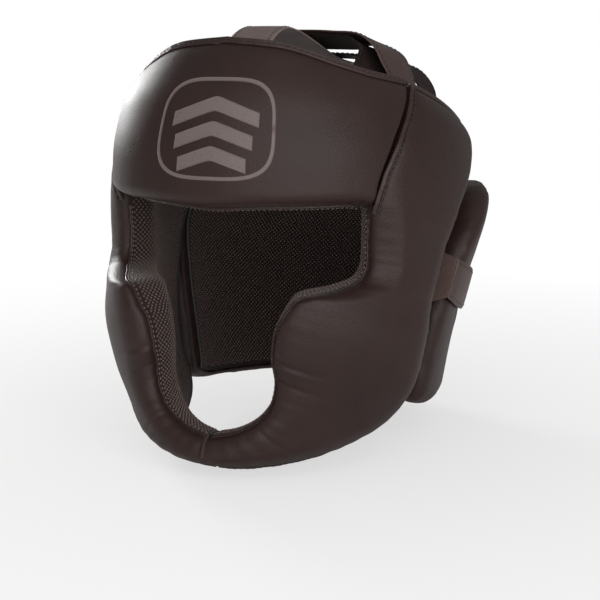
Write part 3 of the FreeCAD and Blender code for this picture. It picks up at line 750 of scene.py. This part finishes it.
rim_ends = np.linspace(-1.012, 1.012, 171)
rim_top, rim_foot = brow_outer(rim_ends, 1.0), brow_inner(rim_ends, 1.0)
bind_rim("forehead", rim_top, rim_foot, np.broadcast_to(np.array([0.0, 0.0, 1.0]), rim_top.shape))
cap_shares = np.linspace(-0.008, 0.985, 71)
cap_top, cap_foot = side_outer(0.0, cap_shares, 0), side_inner(0.0, cap_shares)
cap_up = unit(cap_foot - side_inner(0.1, cap_shares))
for side, turn in SIDES:
    bind_rim(side, turn(cap_top), turn(cap_foot), turn(cap_up))


def pipe_crease(edge, outer, inner, stations, turn):
    """Brow and face opening: a cord is sewn into the crease where leather and lining meet, and a
    row of pale thread runs beside it on the lining."""
    top, foot = outer(stations, 0.0), inner(stations, 0.0)
    down = turn(unit(foot - top))
    away = turn(-into_pad(inner, stations, 0.0))
    crease = turn(top) + down * (LEATHER_TURN + 0.4)
    piping = band(
        edge + "_piping", crease - away * 0.5, down, away, PIPING_WIDTH, PIPING_WIDTH, TRIM_LEATHER,
    )
    fitted(piping, "root", "trim_leather", edge + "_binding")
    row = crease + down * 1.0 + away * 0.15
    stitches(edge + "_stitches", row, away, PALE_THREAD, "root", LINING_STITCH, "lining_fabric")


pipe_crease("forehead_brow", brow_outer, brow_inner, np.linspace(-0.97, 0.97, 151), np.copy)
face_lines = np.linspace(4.1, LAST_LINE - 0.05, 241)
hem_lines = np.linspace(0.4, LAST_LINE - 0.03, 221)
hem_top, hem_foot = side_outer(hem_lines, 1.0), side_inner(hem_lines, 1.0)
hem_away = unit(hem_foot - side_inner(hem_lines, 0.95))
hem_down = unit(hem_foot - hem_top)
hem_path = hem_top + hem_down * 3.6 + hem_away * 0.6
hem_row = hem_top + hem_down * 3.0 + hem_away * 1.55
for side, turn in SIDES:
    pipe_crease(side + "_face", side_outer, side_inner, face_lines, turn)
    hem = band(
        side + "_outer_hem", turn(hem_path), turn(hem_down), turn(hem_away), HEM_WIDTH, HEM_THICKNESS,
        TRIM_LEATHER,
    )
    fitted(hem, "root", "trim_leather", side + "_outer_binding")
    stitches(side + "_outer_hem_stitches", turn(hem_row), turn(hem_away), DARK_THREAD, "root")

# Seams: a flat strip over the side panel's edge, topstitched on the side panel.  Its lower end
# sinks into the corner of the face opening.
seam_lines = np.linspace(0.05, 3.9, 91)
strip_share = STRIP_MIDDLE / side_width(seam_lines)
seam_path = side_outer(seam_lines, strip_share, 0)
seam_across = unit(side_outer(seam_lines, 2 * strip_share, 0) - side_outer(seam_lines, 0.0, 0))
seam_lift = lifted(seam_path, seam_across, seam_path * [1, 1, 0])
seam_sink = 0.5 + 2.5 * np.clip(seam_lines - 3.2, 0, 1)[:, None] ** 2
strip_path = seam_path - seam_lift * seam_sink
seam_row = side_outer(seam_lines, 3.6 / side_width(seam_lines)) + seam_lift * 0.1
for side, turn in SIDES:
    strip = band(
        side + "_seam_strip_leather", turn(strip_path), turn(seam_across), turn(seam_lift), STRIP_WIDTH,
        STRIP_THICKNESS, TRIM_LEATHER,
    )
    fitted(strip, "root", "trim_leather", side + "_seam_strip")
    stitches(side + "_seam_stitches", turn(seam_row), turn(seam_lift), DARK_THREAD, "root", SEAM_STITCH)
chin_path = side_outer(LAST_LINE, np.linspace(0.0, 0.96, 41))
chin_path[:, 0] = 0
chin_across = np.tile([1.0, 0, 0], (len(chin_path), 1))
chin_lift = lifted(chin_path, chin_across, np.array([0, -1, 0]))
chin_strip = band(
    "chin_seam_strip_leather", chin_path - chin_lift * 0.9, chin_across, chin_lift, 2.2, 1.6, TRIM_LEATHER,
)
fitted(chin_strip, "root", "trim_leather", "chin_seam_strip")

# ---------------------------------------------------------------------------
# Emblem.  A plain printed badge on the brow: a rounded frame round three
# chevrons, in flat grey ink a little worn away, with no lettering.
# ---------------------------------------------------------------------------
BADGE_ANGLE, BADGE_HEIGHT = 3.5, 50
BADGE_HALF_WIDTH, BADGE_HALF_HEIGHT, BADGE_SQUARENESS, FRAME_WIDTH = 35, 26, 0.55, 2.0
BADGE_RADIUS = 125           # radius of the brow's outer face at the badge
CHEVRON_HALF_WIDTH, CHEVRON_WIDTH, CHEVRON_SLOPE, CHEVRON_NARROWING = 26, 7.5, 0.34, 0.12
CHEVRON_HEIGHTS = (16.5, 4.0, -8.5)
INK_THICKNESS, INK_ROOT = 0.12, 0.3     # above and below the leather's face


def worn_ink(name, ink, leather_tone):
    """Screen print: flat ink rubbed through to the leather in fine specks, with the grain showing."""
    material, tree, shader = blank_material(name, 0.5, 0.4)
    grain = node(tree, "ShaderNodeGroup", node_tree=LEATHER_GRAIN)
    place = node(tree, "ShaderNodeTexCoord")
    speck = node(tree, "ShaderNodeTexNoise", Scale=650.0, Detail=4.0, Roughness=0.75)
    tree.links.new(place.outputs["Object"], speck.inputs["Vector"])
    gone = remapped(tree, speck.outputs["Fac"], (0.62, 0.72))
    tree.links.new(blend_colours(tree, gone, ink, leather_tone), shader.inputs["Base Color"])
    emboss(tree, shader, grain.outputs["Height"], 0.25, 0.0003)
    return material


EMBLEM_INK = worn_ink("emblem_ink", srgb(118, 104, 103), srgb(64, 48, 45))


def on_brow(x, z):
    """Point of the brow panel's outer face at a distance x along it and a height z."""
    angle = np.broadcast_to(BADGE_ANGLE + np.degrees(x / BADGE_RADIUS), np.broadcast(x, z).shape)
    rim, lower = smooth(BROW_EDGES, np.abs(angle))
    up = (z - lower) / (rim - lower)
    return brow_outer(angle / seam_angle(up), up)


def printed(name, x, z):
    """A film of ink over the brow panel, given as grids of distances along it and heights."""
    face = on_brow(x, z)
    n = normals(face)
    n = n * np.sign(np.sum(n * face * [1, 1, 0], axis=-1, keepdims=True))
    film = closed_sheet(name, face + n * INK_THICKNESS, face - n * INK_ROOT, EMBLEM_INK)
    return fitted(film, "root", "trim_leather")


def squared(wave):
    """A sine or cosine pressed towards its limits, which turns an ellipse into a rounded rectangle."""
    return np.sign(wave) * np.abs(wave) ** BADGE_SQUARENESS


round_badge = np.linspace(0, 2 * np.pi, 181)[:, None]
inset = np.linspace(0, FRAME_WIDTH, 4)[None, :]
frame_x = (BADGE_HALF_WIDTH - inset) * squared(np.cos(round_badge))
frame_z = (BADGE_HALF_HEIGHT - inset) * squared(np.sin(round_badge))
printed("emblem_frame", frame_x, BADGE_HEIGHT + frame_z)
bar_x = np.linspace(-CHEVRON_HALF_WIDTH, CHEVRON_HALF_WIDTH, 90)[:, None]
bar_share = np.linspace(0, 1, 9)[None, :]
for number, centre in enumerate(CHEVRON_HEIGHTS):
    reach = bar_x * (1 - CHEVRON_NARROWING * number)
    bar_z = centre - CHEVRON_SLOPE * np.sqrt(reach ** 2 + 4) - (1 - bar_share) * CHEVRON_WIDTH + 0.6
    printed(f"emblem_chevron_{number + 1}", reach + 0 * bar_share, BADGE_HEIGHT + bar_z)

# ---------------------------------------------------------------------------
# Crown straps.  A leather strap lined with webbing crosses from side to side
# behind the brow panel, and a webbing strap crosses further back.  A folded
# leather strap runs back from the brow panel's rim and is sewn under both.
# ---------------------------------------------------------------------------
STRAP_STITCH = (3.2, 2.3, 0.5)
STRAP_STITCH_INSET = 2.4
HEAD_MIDDLE = [0, 0, 20]     # straps face away from here
THREAD_SINK = 0.08           # how far a stitch's middle lies below the strap's face
STRAP_LEATHER = leather(
    "strap_leather", srgb(66, 50, 47), srgb(80, 64, 61), srgb(110, 95, 92), roughness=0.42,
)
# The centre strap's three tones are far paler than the other straps' leather: painted light for the light
# that falls on the top of the crown.
CREST_LEATHER_PAINTED_LIGHT = leather(
    "crest_strap_painted_light", srgb(112, 97, 94), srgb(130, 115, 112), srgb(150, 137, 134), roughness=0.6,
)


def webbing_group():
    """Plain weave on the band's own length and width: Height is the larger of two crossing sets
    of ribs, and Tone is the height times a slow fading."""
    tree, given, out = group_tree("webbing_ribs", {"Ribs": 190}, ("Height", "Tone"))
    place = node(tree, "ShaderNodeTexCoord").outputs["UV"]
    fade = node(tree, "ShaderNodeTexNoise", Scale=60.0, Detail=2.0)
    tree.links.new(place, fade.inputs["Vector"])
    ribs = []
    for direction in ("X", "Y"):
        wave = node(tree, "ShaderNodeTexWave", bands_direction=direction, Distortion=0.6)
        wave.inputs["Detail Scale"].default_value = 3.0
        tree.links.new(place, wave.inputs["Vector"])
        tree.links.new(given.outputs["Ribs"], wave.inputs["Scale"])
        ribs.append(wave)
    height = node(tree, "ShaderNodeMath", operation="MAXIMUM")
    for k, wave in enumerate(ribs):
        tree.links.new(wave.outputs["Fac"], height.inputs[k])
    tone = node(tree, "ShaderNodeMath", operation="MULTIPLY")
    tree.links.new(height.outputs[0], tone.inputs[0])
    tree.links.new(fade.outputs["Fac"], tone.inputs[1])
    tree.links.new(height.outputs[0], out.inputs["Height"])
    tree.links.new(tone.outputs[0], out.inputs["Tone"])
    return tree


WEBBING_RIBS = webbing_group()


def webbing(name, deep, plain, ribs=190.0):
    """Woven polyester webbing: crossing ribs in two tones, matt with soft sheen."""
    material, tree, shader = blank_material(name, 0.8, 0.15, 0.02)
    weave = node(tree, "ShaderNodeGroup", node_tree=WEBBING_RIBS, Ribs=ribs)
    tree.links.new(blend_colours(tree, weave.outputs["Tone"], deep, plain), shader.inputs["Base Color"])
    emboss(tree, shader, weave.outputs["Height"], 0.6, 0.0004)
    return material


STRAP_WEBBING = webbing("strap_webbing", srgb(26, 17, 16), srgb(58, 43, 41))


def arch(half, rise):
    """Edges of a strap over the crown from the pairs of its left half, raised along its normals."""
    pairs = np.array(half + [[(-x, y, z) for x, y, z in pair] for pair in half[-2::-1]], float)
    lift = lifted(pairs[:, 0], pairs[:, 1] - pairs[:, 0], pairs[:, 0])
    return pairs + lift[:, None] * rise


def flowing(points, count):
    """Points resampled evenly along a smooth curve through them.  The curve's slope at each point
    is the mean of the neighbouring slopes, weighted by the opposite lengths."""
    run = lengths_along(points)
    step = np.diff(run)[:, None]
    secant = np.diff(points, axis=0) / step
    inner = (secant[:-1] * step[1:] + secant[1:] * step[:-1]) / (step[:-1] + step[1:])
    slope = np.vstack([1.5 * secant[:1] - 0.5 * inner[:1], inner, 1.5 * secant[-1:] - 0.5 * inner[-1:]])
    return cubic(run, points, slope, np.linspace(0, run[-1], count)).T


def edge_band(name, pairs, thickness, material, body, part, finish, count=141):
    """A strap between two edge curves, with a row of stitches near each edge on its upper side."""
    low, high = flowing(pairs[:, 0], count), flowing(pairs[:, 1], count)
    path, across = (low + high) / 2, unit(high - low)
    lift = unit(np.cross(across, np.gradient(path, axis=0)))
    lift = lift * np.sign(np.sum(lift * (path - HEAD_MIDDLE), axis=-1).sum())
    width = np.linalg.norm(high - low, axis=-1)
    strap = fitted(band(name, path, across, lift, width, thickness, material), body, finish, part)
    for label, edge, sign in (("front", low, 1), ("rear", high, -1)):
        row = edge + across * sign * STRAP_STITCH_INSET + lift * (thickness / 2 - THREAD_SINK)
        stitches(f"{part}_{label}_stitches", row, lift, DARK_THREAD, body, STRAP_STITCH, finish)
    return strap


def inside(angle, z, gap=4.0):
    """Point just inside the head cavity, where a strap's end is sewn to the lining."""
    return tuple(on_head(np.array(float(angle)), np.array(float(z)), -gap))


# Each row crosses a strap, from its front edge to its rear edge: two points (x, y, z) of its left half.
front_pairs = [
    [inside(79, 46), inside(99, 42)], [inside(79, 56), inside(99, 51)],
    [(58, -3, 71), (65, 22, 64)], [(51.5, -1, 81), (61, 24, 74)],
    [(46, 0, 90), (56, 25, 83.5)], [(39, 0, 95.5), (47, 26, 88)],
    [(20, 0, 98), (24, 26, 89)], [(0, 0, 98.5), (0, 26, 89)],
]
webbing_pairs = [
    [inside(79, 44), inside(99, 42)], [(58, -5, 59), (66, 21, 57)], [(44, -7, 67), (63, 22, 65)],
    [(37, -5, 78), (58, 24, 75.5)], [(38.5, -1, 91.5), (54, 25, 85.5)], [(33, 0, 95.6), (43, 26, 88)],
    [(18, 0, 97.6), (22, 26, 88.6)], [(0, 0, 98.2), (0, 26, 88.8)],
]
rear_pairs = [
    [inside(102, 41), inside(121, 33)], [inside(102, 49.5), inside(121, 41.5)],
    [(69.5, 27, 59.5), (67, 53, 52)], [(63, 28, 69.5), (65.5, 55, 64)],
    [(54, 29, 77.5), (58, 56, 74)], [(41, 30, 83), (41, 58, 80)],
    [(21, 30, 85.5), (20, 58, 82)], [(0, 30, 86), (0, 58, 83)],
]
# The centre strap's height z at each y, from the front to the back.
centre_profile = [
    (-73.5, 78), (-67.5, 86), (-62, 93), (-54, 97.6), (-43, 100.6), (-30, 99.6), (-14, 95.8), (0, 91.8),
    (13, 87.8), (26, 84.2), (40, 81.6), (53, 79.8), (60, 79),
]
CENTRE_HALF_WIDTH, CENTRE_RISE = 13.5, 0.8
centre_pairs = np.array(
    [[(side * CENTRE_HALF_WIDTH, y, z + CENTRE_RISE) for side in (-1, 1)] for y, z in centre_profile], float,
)
for name, pairs, thickness, material, part, finish in (
    ("front_webbing", arch(webbing_pairs, 0.5), 1.2, STRAP_WEBBING, "front_webbing", "webbing"),
    ("front_leather", arch(front_pairs, 2.2), 1.8, STRAP_LEATHER, "front_strap", "strap_leather"),
    ("rear_webbing", arch(rear_pairs, 0.8), 1.7, STRAP_WEBBING, "rear_strap", "webbing"),
    ("centre_leather", centre_pairs, 2.0, CREST_LEATHER_PAINTED_LIGHT, "centre_strap", "strap_leather"),
):
    edge_band(f"crown_{name}_band", pairs, thickness, material, "root", "crown_" + part, finish)

# ---------------------------------------------------------------------------
# Rear pad.  A long soft pad that closes the back of the head, with leather
# outside and textile inside over one block of foam, sewn round its edge.  The
# closure strap draws it in across the middle, so it stands proud above and below.
# ---------------------------------------------------------------------------
PAD_SURFACE = [              # height, half width and half depth of the pad's outer face
    (-130, 85, 99), (-85, 92, 111), (-45, 101, 124), (0, 113, 135), (18, 114, 137),
]
PAD_ENDS = [                 # share of the way down, angle of the pad's end
    (0, 118), (0.07, 110.5), (0.14, 103.5), (0.22, 97), (0.3, 92.5), (0.42, 88), (0.6, 83.5),
    (0.8, 80.5), (1, 78.5),
]
PAD_END_HEIGHTS, PAD_MIDDLE_HEIGHTS = (15, -117), (-1, -124)
PAD_HEIGHT = PAD_END_HEIGHTS[0] - PAD_END_HEIGHTS[1]
PAD_DEPTH, PAD_EDGE, PAD_ROLL, PAD_HALF_LENGTH = 24, 14, 10, 197
COVER_INSET = 1.0            # room for the leather's swelling inside the pad's shape
STRAP_BAND = (0.395, 0.575)  # the closure strap's edges, as shares of the pad's height
STRAP_CLIMB = 0.07           # share by which the strap climbs towards its ends
STRAP_DRAW = 1.0             # how far the strap draws the pad in
SWELL_LIMIT = 3.0            # how far the leather may move as it settles over the foam
SWELL_PRESSURE, SWELL_FRAMES, VOXEL, HOLD_REACH = 5.0, 20, 4.5, 6


def pad_place(across, down):
    """Angle and height on the pad; across is -1 at its left end and 1 at its right end."""
    ends = np.clip(np.abs(across) - 0.8, 0, 1) / 0.2
    down = 0.5 + (down - 0.5) * (1 - 0.1 * ends * ends)
    angle = 180 + (180 - smooth(PAD_ENDS, down)[0]) * across
    end_z = PAD_END_HEIGHTS[0] + (PAD_END_HEIGHTS[1] - PAD_END_HEIGHTS[0]) * down
    middle_z = PAD_MIDDLE_HEIGHTS[0] + (PAD_MIDDLE_HEIGHTS[1] - PAD_MIDDLE_HEIGHTS[0]) * down
    return angle, middle_z + (end_z - middle_z) * across * across


def pad_point(across, down, side, inset=0.0):
    """Outer (side 1) or inner (side -1) face of the pad, an inset below it: an ellipse plus or minus
    half the pad's depth, which rolls down to its edges."""
    across, down = np.broadcast_arrays(np.asarray(across, float), np.asarray(down, float))
    angle, z = pad_place(across, down)
    half_width, half_depth = smooth(PAD_SURFACE, z)
    s, c = np.sin(np.radians(angle)), np.cos(np.radians(angle))
    radius = 1 / np.hypot(s / (half_width - PAD_DEPTH / 2), c / (half_depth - PAD_DEPTH / 2))
    full = roll((1 - np.abs(across)) * PAD_HALF_LENGTH, PAD_ROLL)
    full = full * roll(down * PAD_HEIGHT, PAD_ROLL) * roll((1 - down) * PAD_HEIGHT, PAD_ROLL)
    radius = radius + side * ((PAD_EDGE + (PAD_DEPTH - PAD_EDGE) * full) / 2 - inset)
    return np.stack([radius * s, -radius * c, z], axis=-1)


def coordinates(mesh):
    """The places of a mesh's vertices, as rows."""
    values = np.empty(len(mesh.vertices) * 3)
    mesh.vertices.foreach_get("co", values)
    return values.reshape(-1, 3)


def hold_down(piece, points, held_points, reach):
    """A vertex group that is full near the held points and fades out beyond the reach."""
    tree = kdtree.KDTree(len(held_points))
    for k, point in enumerate(held_points):
        tree.insert(point, k)
    tree.balance()
    distance = np.array([tree.find(point)[2] for point in points])
    hold = np.clip(1.3 - distance / reach, 0, 1)
    group = piece.vertex_groups.new(name="held")
    for k in np.nonzero(hold > 0)[0]:
        group.add([int(k)], float(hold[k]), "REPLACE")
    return group.name


def stuffed(piece, held_points, reach, pressure, limit):
    """Settles a closed mesh as cloth under inside pressure, as leather settles over its foam.  Points
    near the held ones stay down, and none moves further than the limit.  Lengths in metres."""
    remesh = piece.modifiers.new("remesh", "REMESH")
    remesh.mode, remesh.voxel_size, remesh.use_smooth_shade = "VOXEL", VOXEL * MM, True
    bpy.context.view_layer.objects.active = piece
    bpy.ops.object.modifier_apply(modifier="remesh")
    before = coordinates(piece.data)
    swell = piece.modifiers.new("swell", "CLOTH")
    settings = swell.settings
    settings.quality, settings.mass = 6, 0.3
    settings.tension_stiffness = settings.compression_stiffness = 12
    settings.bending_stiffness = 2.0
    settings.use_pressure, settings.uniform_pressure_force = True, pressure
    settings.vertex_group_mass = hold_down(piece, before, held_points, reach)
    settings.effector_weights.gravity = 0
    scene = bpy.context.scene
    for step in range(1, SWELL_FRAMES + 1):
        scene.frame_set(step)
    move = coordinates(piece.evaluated_get(bpy.context.evaluated_depsgraph_get()).data) - before
    size = np.linalg.norm(move, axis=-1, keepdims=True)
    move = move * np.minimum(1, limit / np.maximum(size, 1e-9))
    piece.modifiers.remove(swell)
    piece.data.vertices.foreach_set("co", (before + move).ravel())
    piece.data.update()
    scene.frame_set(1)
    finer = piece.modifiers.new("finer", "SUBSURF")
    finer.levels = finer.render_levels = 1
    return piece


pad_across = np.linspace(-1, 1, 161)[:, None]
pad_down = np.linspace(0, 1, 61)[None, :]
strap_share = pad_down + STRAP_CLIMB * pad_across ** 6
middle_share = (strap_share - np.mean(STRAP_BAND)) / (STRAP_BAND[1] - STRAP_BAND[0])
drawn = STRAP_DRAW * np.exp(-(2 * middle_share) ** 6)
pad_run = pad_across * PAD_HALF_LENGTH
gathers = 0
for distance, phase in ((STRAP_BAND[0] - strap_share, 0.0), (strap_share - STRAP_BAND[1], 1.7)):
    gathers = gathers + pucker(pad_run, np.abs(distance) * PAD_HEIGHT, 0.8, 16, phase)
for distance, phase in ((pad_down, 0.6), (1 - pad_down, 2.4)):
    gathers = gathers + pucker(pad_run, distance * PAD_HEIGHT, 0.5, 9, phase)
pad_outside = pad_point(pad_across, pad_down, 1, drawn + COVER_INSET - gathers)
pad_inside = pad_point(pad_across, pad_down, -1, COVER_INSET)
rear_pad = closed_sheet("rear_pad_leather", pad_outside, pad_inside, COVER_LEATHER)

# The seam round the pad: along its top and down one end, then the same turned half way round.
seam_half = np.concatenate([
    np.stack([np.linspace(-0.965, 0.965, 121), np.full(121, 0.028)], axis=-1),
    np.stack([np.full(31, 0.985), np.linspace(0.06, 0.94, 31)], axis=-1),
])
pad_seam = np.concatenate([seam_half, [0, 1] - seam_half, seam_half[:1]]).T
loop_points = flowing(pad_point(*pad_seam, -1, 0.2), 601)
loop_lift = flowing(unit(pad_point(*pad_seam, 1) - pad_point(*pad_seam, -1)), 601)
loop_across = unit(np.cross(loop_lift, np.gradient(loop_points, axis=0)))
under_strap = pad_outside[np.abs(middle_share) < 0.5]
held = np.concatenate([under_strap[::2], loop_points[::2], pad_inside[::4, ::4].reshape(-1, 3)]) * MM
stuffed(rear_pad, held, HOLD_REACH * MM, SWELL_PRESSURE, SWELL_LIMIT * MM)
fitted(
    rear_pad, "rear_pad", "cover_leather", "rear_pad_cover", "rear_pad_foam", "rear_pad_top_gusset",
    "rear_pad_bottom_gusset", "rear_pad_left_gusset", "rear_pad_right_gusset",
)

lining_across = np.linspace(-0.955, 0.955, 121)[:, None]
lining_down = np.linspace(0.045, 0.955, 41)[None, :]
pad_lining = pad_point(lining_across, lining_down, -1, -0.2)
lining_back = pad_point(lining_across, lining_down, -1, 1.6)
pad_cloth = closed_sheet("rear_pad_lining_cloth", lining_back, pad_lining, LINING_CLOTH)
fitted(pad_cloth, "rear_pad", "lining_fabric", "rear_pad_lining")
fitted(dotted("rear_pad_lining_dots", pad_lining[:, 1:-1], LINING_DOTS_PAINTED_SHINE), "rear_pad", "lining_fabric")
pad_piping = band("rear_pad_piping", loop_points, loop_across, loop_lift, 2.2, 2.2, TRIM_LEATHER)
fitted(pad_piping, "rear_pad", "trim_leather")

# ---------------------------------------------------------------------------
# Closure.  A leather strap over the rear pad, whose left end is sewn to the left
# side panel through a webbing anchor.  Its right end is a tab that reaches
# forward and holds by hook and loop on the right side panel.
# ---------------------------------------------------------------------------
HINGE_TOP, HINGE_BOTTOM = np.array([110.7, 9, 12]), np.array([90.5, -30, -110])
HINGE_INSET = 1.6            # the fold lies this far inside the hinge line
FOLD_GAP = np.array([0, 0.4, 0])        # half the gap between the two pieces that meet at a fold
END_BAND = [share - STRAP_CLIMB for share in STRAP_BAND]
CLOSURE_THICKNESS, ANCHOR_THICKNESS, TAPE_THICKNESS = 1.8, 1.6, 1.0
ANCHOR_LINES, TAB_LINES = (5.1, 7.9), (5.5, 7.5)
LOOP_RISE, HOOK_RISE, TAB_RISE = 1.2, 2.9, 4.9
CLOSURE_LEATHER = leather(
    "closure_strap_leather", srgb(66, 49, 46), srgb(78, 60, 56), srgb(104, 86, 82), roughness=0.45,
)
# The anchor's webbing is toned far paler than the other webbing: painted light that lifts it out of the
# shade it sits in, to match the closure strap.
ANCHOR_WEBBING_PAINTED_LIGHT = webbing("anchor_webbing", srgb(84, 66, 62), srgb(106, 88, 83), ribs=330.0)
HOOK_TAPE = cloth("hook_tape", srgb(22, 19, 19), srgb(40, 36, 36), roughness=0.9, threads=1500.0, bump=1.0)
LOOP_TAPE = cloth(
    "loop_tape", srgb(24, 20, 20), srgb(44, 38, 38), roughness=0.95, threads=700.0, sheen=0.6, bump=1.0,
)


def hinge_point(share, turn=np.copy):
    """Point of the fold at an end of the rear pad, at a share of the way down the hinge line."""
    point = HINGE_TOP + (HINGE_BOTTOM - HINGE_TOP) * share
    return turn(point - unit(point * [1, 1, 0]) * HINGE_INSET)


def strap_edge(number):
    """Upper (0) or lower (1) edge of the closure strap over the pad, pulled to the folds at its ends."""
    across = np.linspace(-1, 1, 81)
    share = STRAP_BAND[number] - STRAP_CLIMB * across ** 6
    on_pad = pad_point(across, share, 1, -CLOSURE_THICKNESS / 2)
    left, right = (hinge_point(END_BAND[number], turn) + FOLD_GAP for _, turn in SIDES)
    pull = (np.clip(np.abs(across) - 0.86, 0, 1) / 0.14)[:, None] ** 2
    return on_pad + (np.where(across[:, None] > 0, right, left) - on_pad) * pull


closure_edges = np.stack([strap_edge(0), strap_edge(1)], axis=1)
edge_band(
    "closure_strap_leather", closure_edges, CLOSURE_THICKNESS, CLOSURE_LEATHER, "rear_pad", "closure_strap",
    "strap_leather", count=201,
)
anchor_edges = []
for share, line in zip(END_BAND, ANCHOR_LINES):
    start = side_outer(line, 1.0) + [0, 2.6, 0]
    stop = hinge_point(share) - FOLD_GAP
    anchor_edges.append(start + (stop - start) * np.linspace(0, 1, 5)[:, None])
edge_band(
    "left_strap_anchor_webbing", np.stack(anchor_edges, axis=1), ANCHOR_THICKNESS, ANCHOR_WEBBING_PAINTED_LIGHT, "root",
    "left_strap_anchor", "webbing", count=15,
)


def tab_edges(raise_by, reaches):
    """Edges of a layer of the closure on the right side panel, raised from it radially."""
    edges = []
    for line in TAB_LINES:
        edge = mirrored(side_outer(line, np.asarray(reaches)))
        edges.append(edge + unit(edge * [1, 1, 0]) * raise_by)
    return np.stack(edges, axis=1)


patch_reaches = np.linspace(0.63, 0.86, 6)
for name, part, rise, tape, body in (
    ("right_loop_patch_tape", "right_loop_patch", LOOP_RISE, LOOP_TAPE, "root"),
    ("closure_hook_patch_tape", "closure_hook_patch", HOOK_RISE, HOOK_TAPE, "closure_tab"),
):
    patch = tab_edges(rise, patch_reaches)
    edge_band(name, patch, TAPE_THICKNESS, tape, body, part, "hook_and_loop", count=25)
tab_end = np.stack([hinge_point(share, mirrored) - FOLD_GAP for share in END_BAND])
tab = np.concatenate([tab_edges(TAB_RISE, [0.6, 0.7, 0.78, 0.86]), tab_end[None]])
edge_band(
    "closure_tab_leather", tab, CLOSURE_THICKNESS, CLOSURE_LEATHER, "closure_tab", "closure_tab",
    "strap_leather", count=41,
)
tip = tab_edges(TAB_RISE + CLOSURE_THICKNESS / 2 - THREAD_SINK, [0.62, 0.64])[0]
tip_row = tip[0] + (tip[1] - tip[0]) * np.linspace(0.12, 0.88, 12)[:, None]
tip_lift = unit(tip_row * [1, 1, 0])
stitches(
    "closure_tab_tip_stitches", tip_row, tip_lift, DARK_THREAD, "closure_tab", STRAP_STITCH, "strap_leather",
)

# ---------------------------------------------------------------------------
# Studio.  A pale floor that fades to white in the distance, an even white
# surround, three soft lamps and the camera.
# ---------------------------------------------------------------------------
FLOOR_Z = cad_box[0].z - 0.002
FLOOR_REACH = 4.0
SURROUND_LEVEL = 0.27        # strength of the white surround as a light on the object
LAMP_TARGET = Vector((0, 0, -0.03))
CAMERA_AZIMUTH, CAMERA_ELEVATION, CAMERA_DISTANCE = 25.0, 11.0, 0.8235
CAMERA_HEIGHT, CAMERA_SHIFT = -0.061, 0.0012    # of the point aimed at: its height, and to the right


def seen_directly(tree):
    """1 for rays from the camera, also through clear things, and 0 for light on its way round."""
    path = node(tree, "ShaderNodeLightPath")
    seen = node(tree, "ShaderNodeMath", operation="ADD", use_clamp=True)
    tree.links.new(path.outputs["Is Camera Ray"], seen.inputs[0])
    tree.links.new(path.outputs["Is Transmission Ray"], seen.inputs[1])
    return seen.outputs[0]


def floor_paint():
    """Matt white paint with a veil of plain white over it in what the camera sees: thin
    near the object, so its shadow shows, and full in the distance."""
    material, tree, shader = blank_material("floor_paint", 0.9, 0.1)
    shader.inputs["Base Color"].default_value = srgb(245, 243, 242)
    place = node(tree, "ShaderNodeTexCoord")
    distance = node(tree, "ShaderNodeVectorMath", operation="LENGTH")
    tree.links.new(place.outputs["Object"], distance.inputs[0])
    veil = remapped(tree, distance.outputs["Value"], (0.15, 0.6), (0.62, 1.0))
    share = node(tree, "ShaderNodeMath", operation="MULTIPLY")
    tree.links.new(veil, share.inputs[0])
    tree.links.new(seen_directly(tree), share.inputs[1])
    white = node(tree, "ShaderNodeEmission")
    mix = node(tree, "ShaderNodeMixShader")
    tree.links.new(share.outputs[0], mix.inputs[0])
    tree.links.new(shader.outputs[0], mix.inputs[1])
    tree.links.new(white.outputs[0], mix.inputs[2])
    tree.links.new(mix.outputs[0], tree.nodes["Material Output"].inputs["Surface"])
    return material


corners = FLOOR_REACH / MM * np.array([[-1, -1], [1, -1], [1, 1], [-1, 1]])
floor_points = np.column_stack([corners, np.full(4, FLOOR_Z / MM)])
floor = new_piece("floor", floor_points, np.array([[0, 1, 2, 3]]), floor_paint())

world = bpy.data.worlds.new("studio")
bpy.context.scene.world = world
world.use_nodes = True
background = world.node_tree.nodes["Background"]
background.inputs["Color"].default_value = (1, 1, 1, 1)
seen = seen_directly(world.node_tree)
level = remapped(world.node_tree, seen, target=(SURROUND_LEVEL, 1.0))
world.node_tree.links.new(level, background.inputs["Strength"])


def round_the_object(azimuth, elevation):
    """Direction from the object towards a viewer or lamp at an azimuth and elevation in degrees."""
    a, e = math.radians(azimuth), math.radians(elevation)
    return Vector((math.sin(a) * math.cos(e), -math.cos(a) * math.cos(e), math.sin(e)))


def placed(name, data, target, outward, distance):
    """A lamp or camera at a distance from its target, aimed at it."""
    holder = bpy.data.objects.new(name, data)
    bpy.context.scene.collection.objects.link(holder)
    holder.location = target + outward * distance
    holder.rotation_euler = (-outward).to_track_quat("-Z", "Y").to_euler()
    return holder


for name, azimuth, elevation, distance, size, power in (
    ("key_light", 30, 26, 1.6, 1.8, 15),
    ("edge_light", -118, 16, 1.3, 0.35, 9),
    ("fill_light", 66, 8, 1.6, 0.8, 4.5),
):
    lamp = bpy.data.lights.new(name, "AREA")
    lamp.shape, lamp.size, lamp.energy = "SQUARE", size, power
    placed(name, lamp, LAMP_TARGET, round_the_object(azimuth, elevation), distance)

camera_data = bpy.data.cameras.new("camera")
camera_data.lens, camera_data.sensor_width = 81.0, 36.0
rightward = round_the_object(CAMERA_AZIMUTH + 90, 0)
aim = Vector((0, 0, CAMERA_HEIGHT)) + rightward * CAMERA_SHIFT
outward = round_the_object(CAMERA_AZIMUTH, CAMERA_ELEVATION)
bpy.context.scene.camera = placed("camera", camera_data, aim, outward, CAMERA_DISTANCE)
bpy.context.scene.view_settings.view_transform = "Standard"
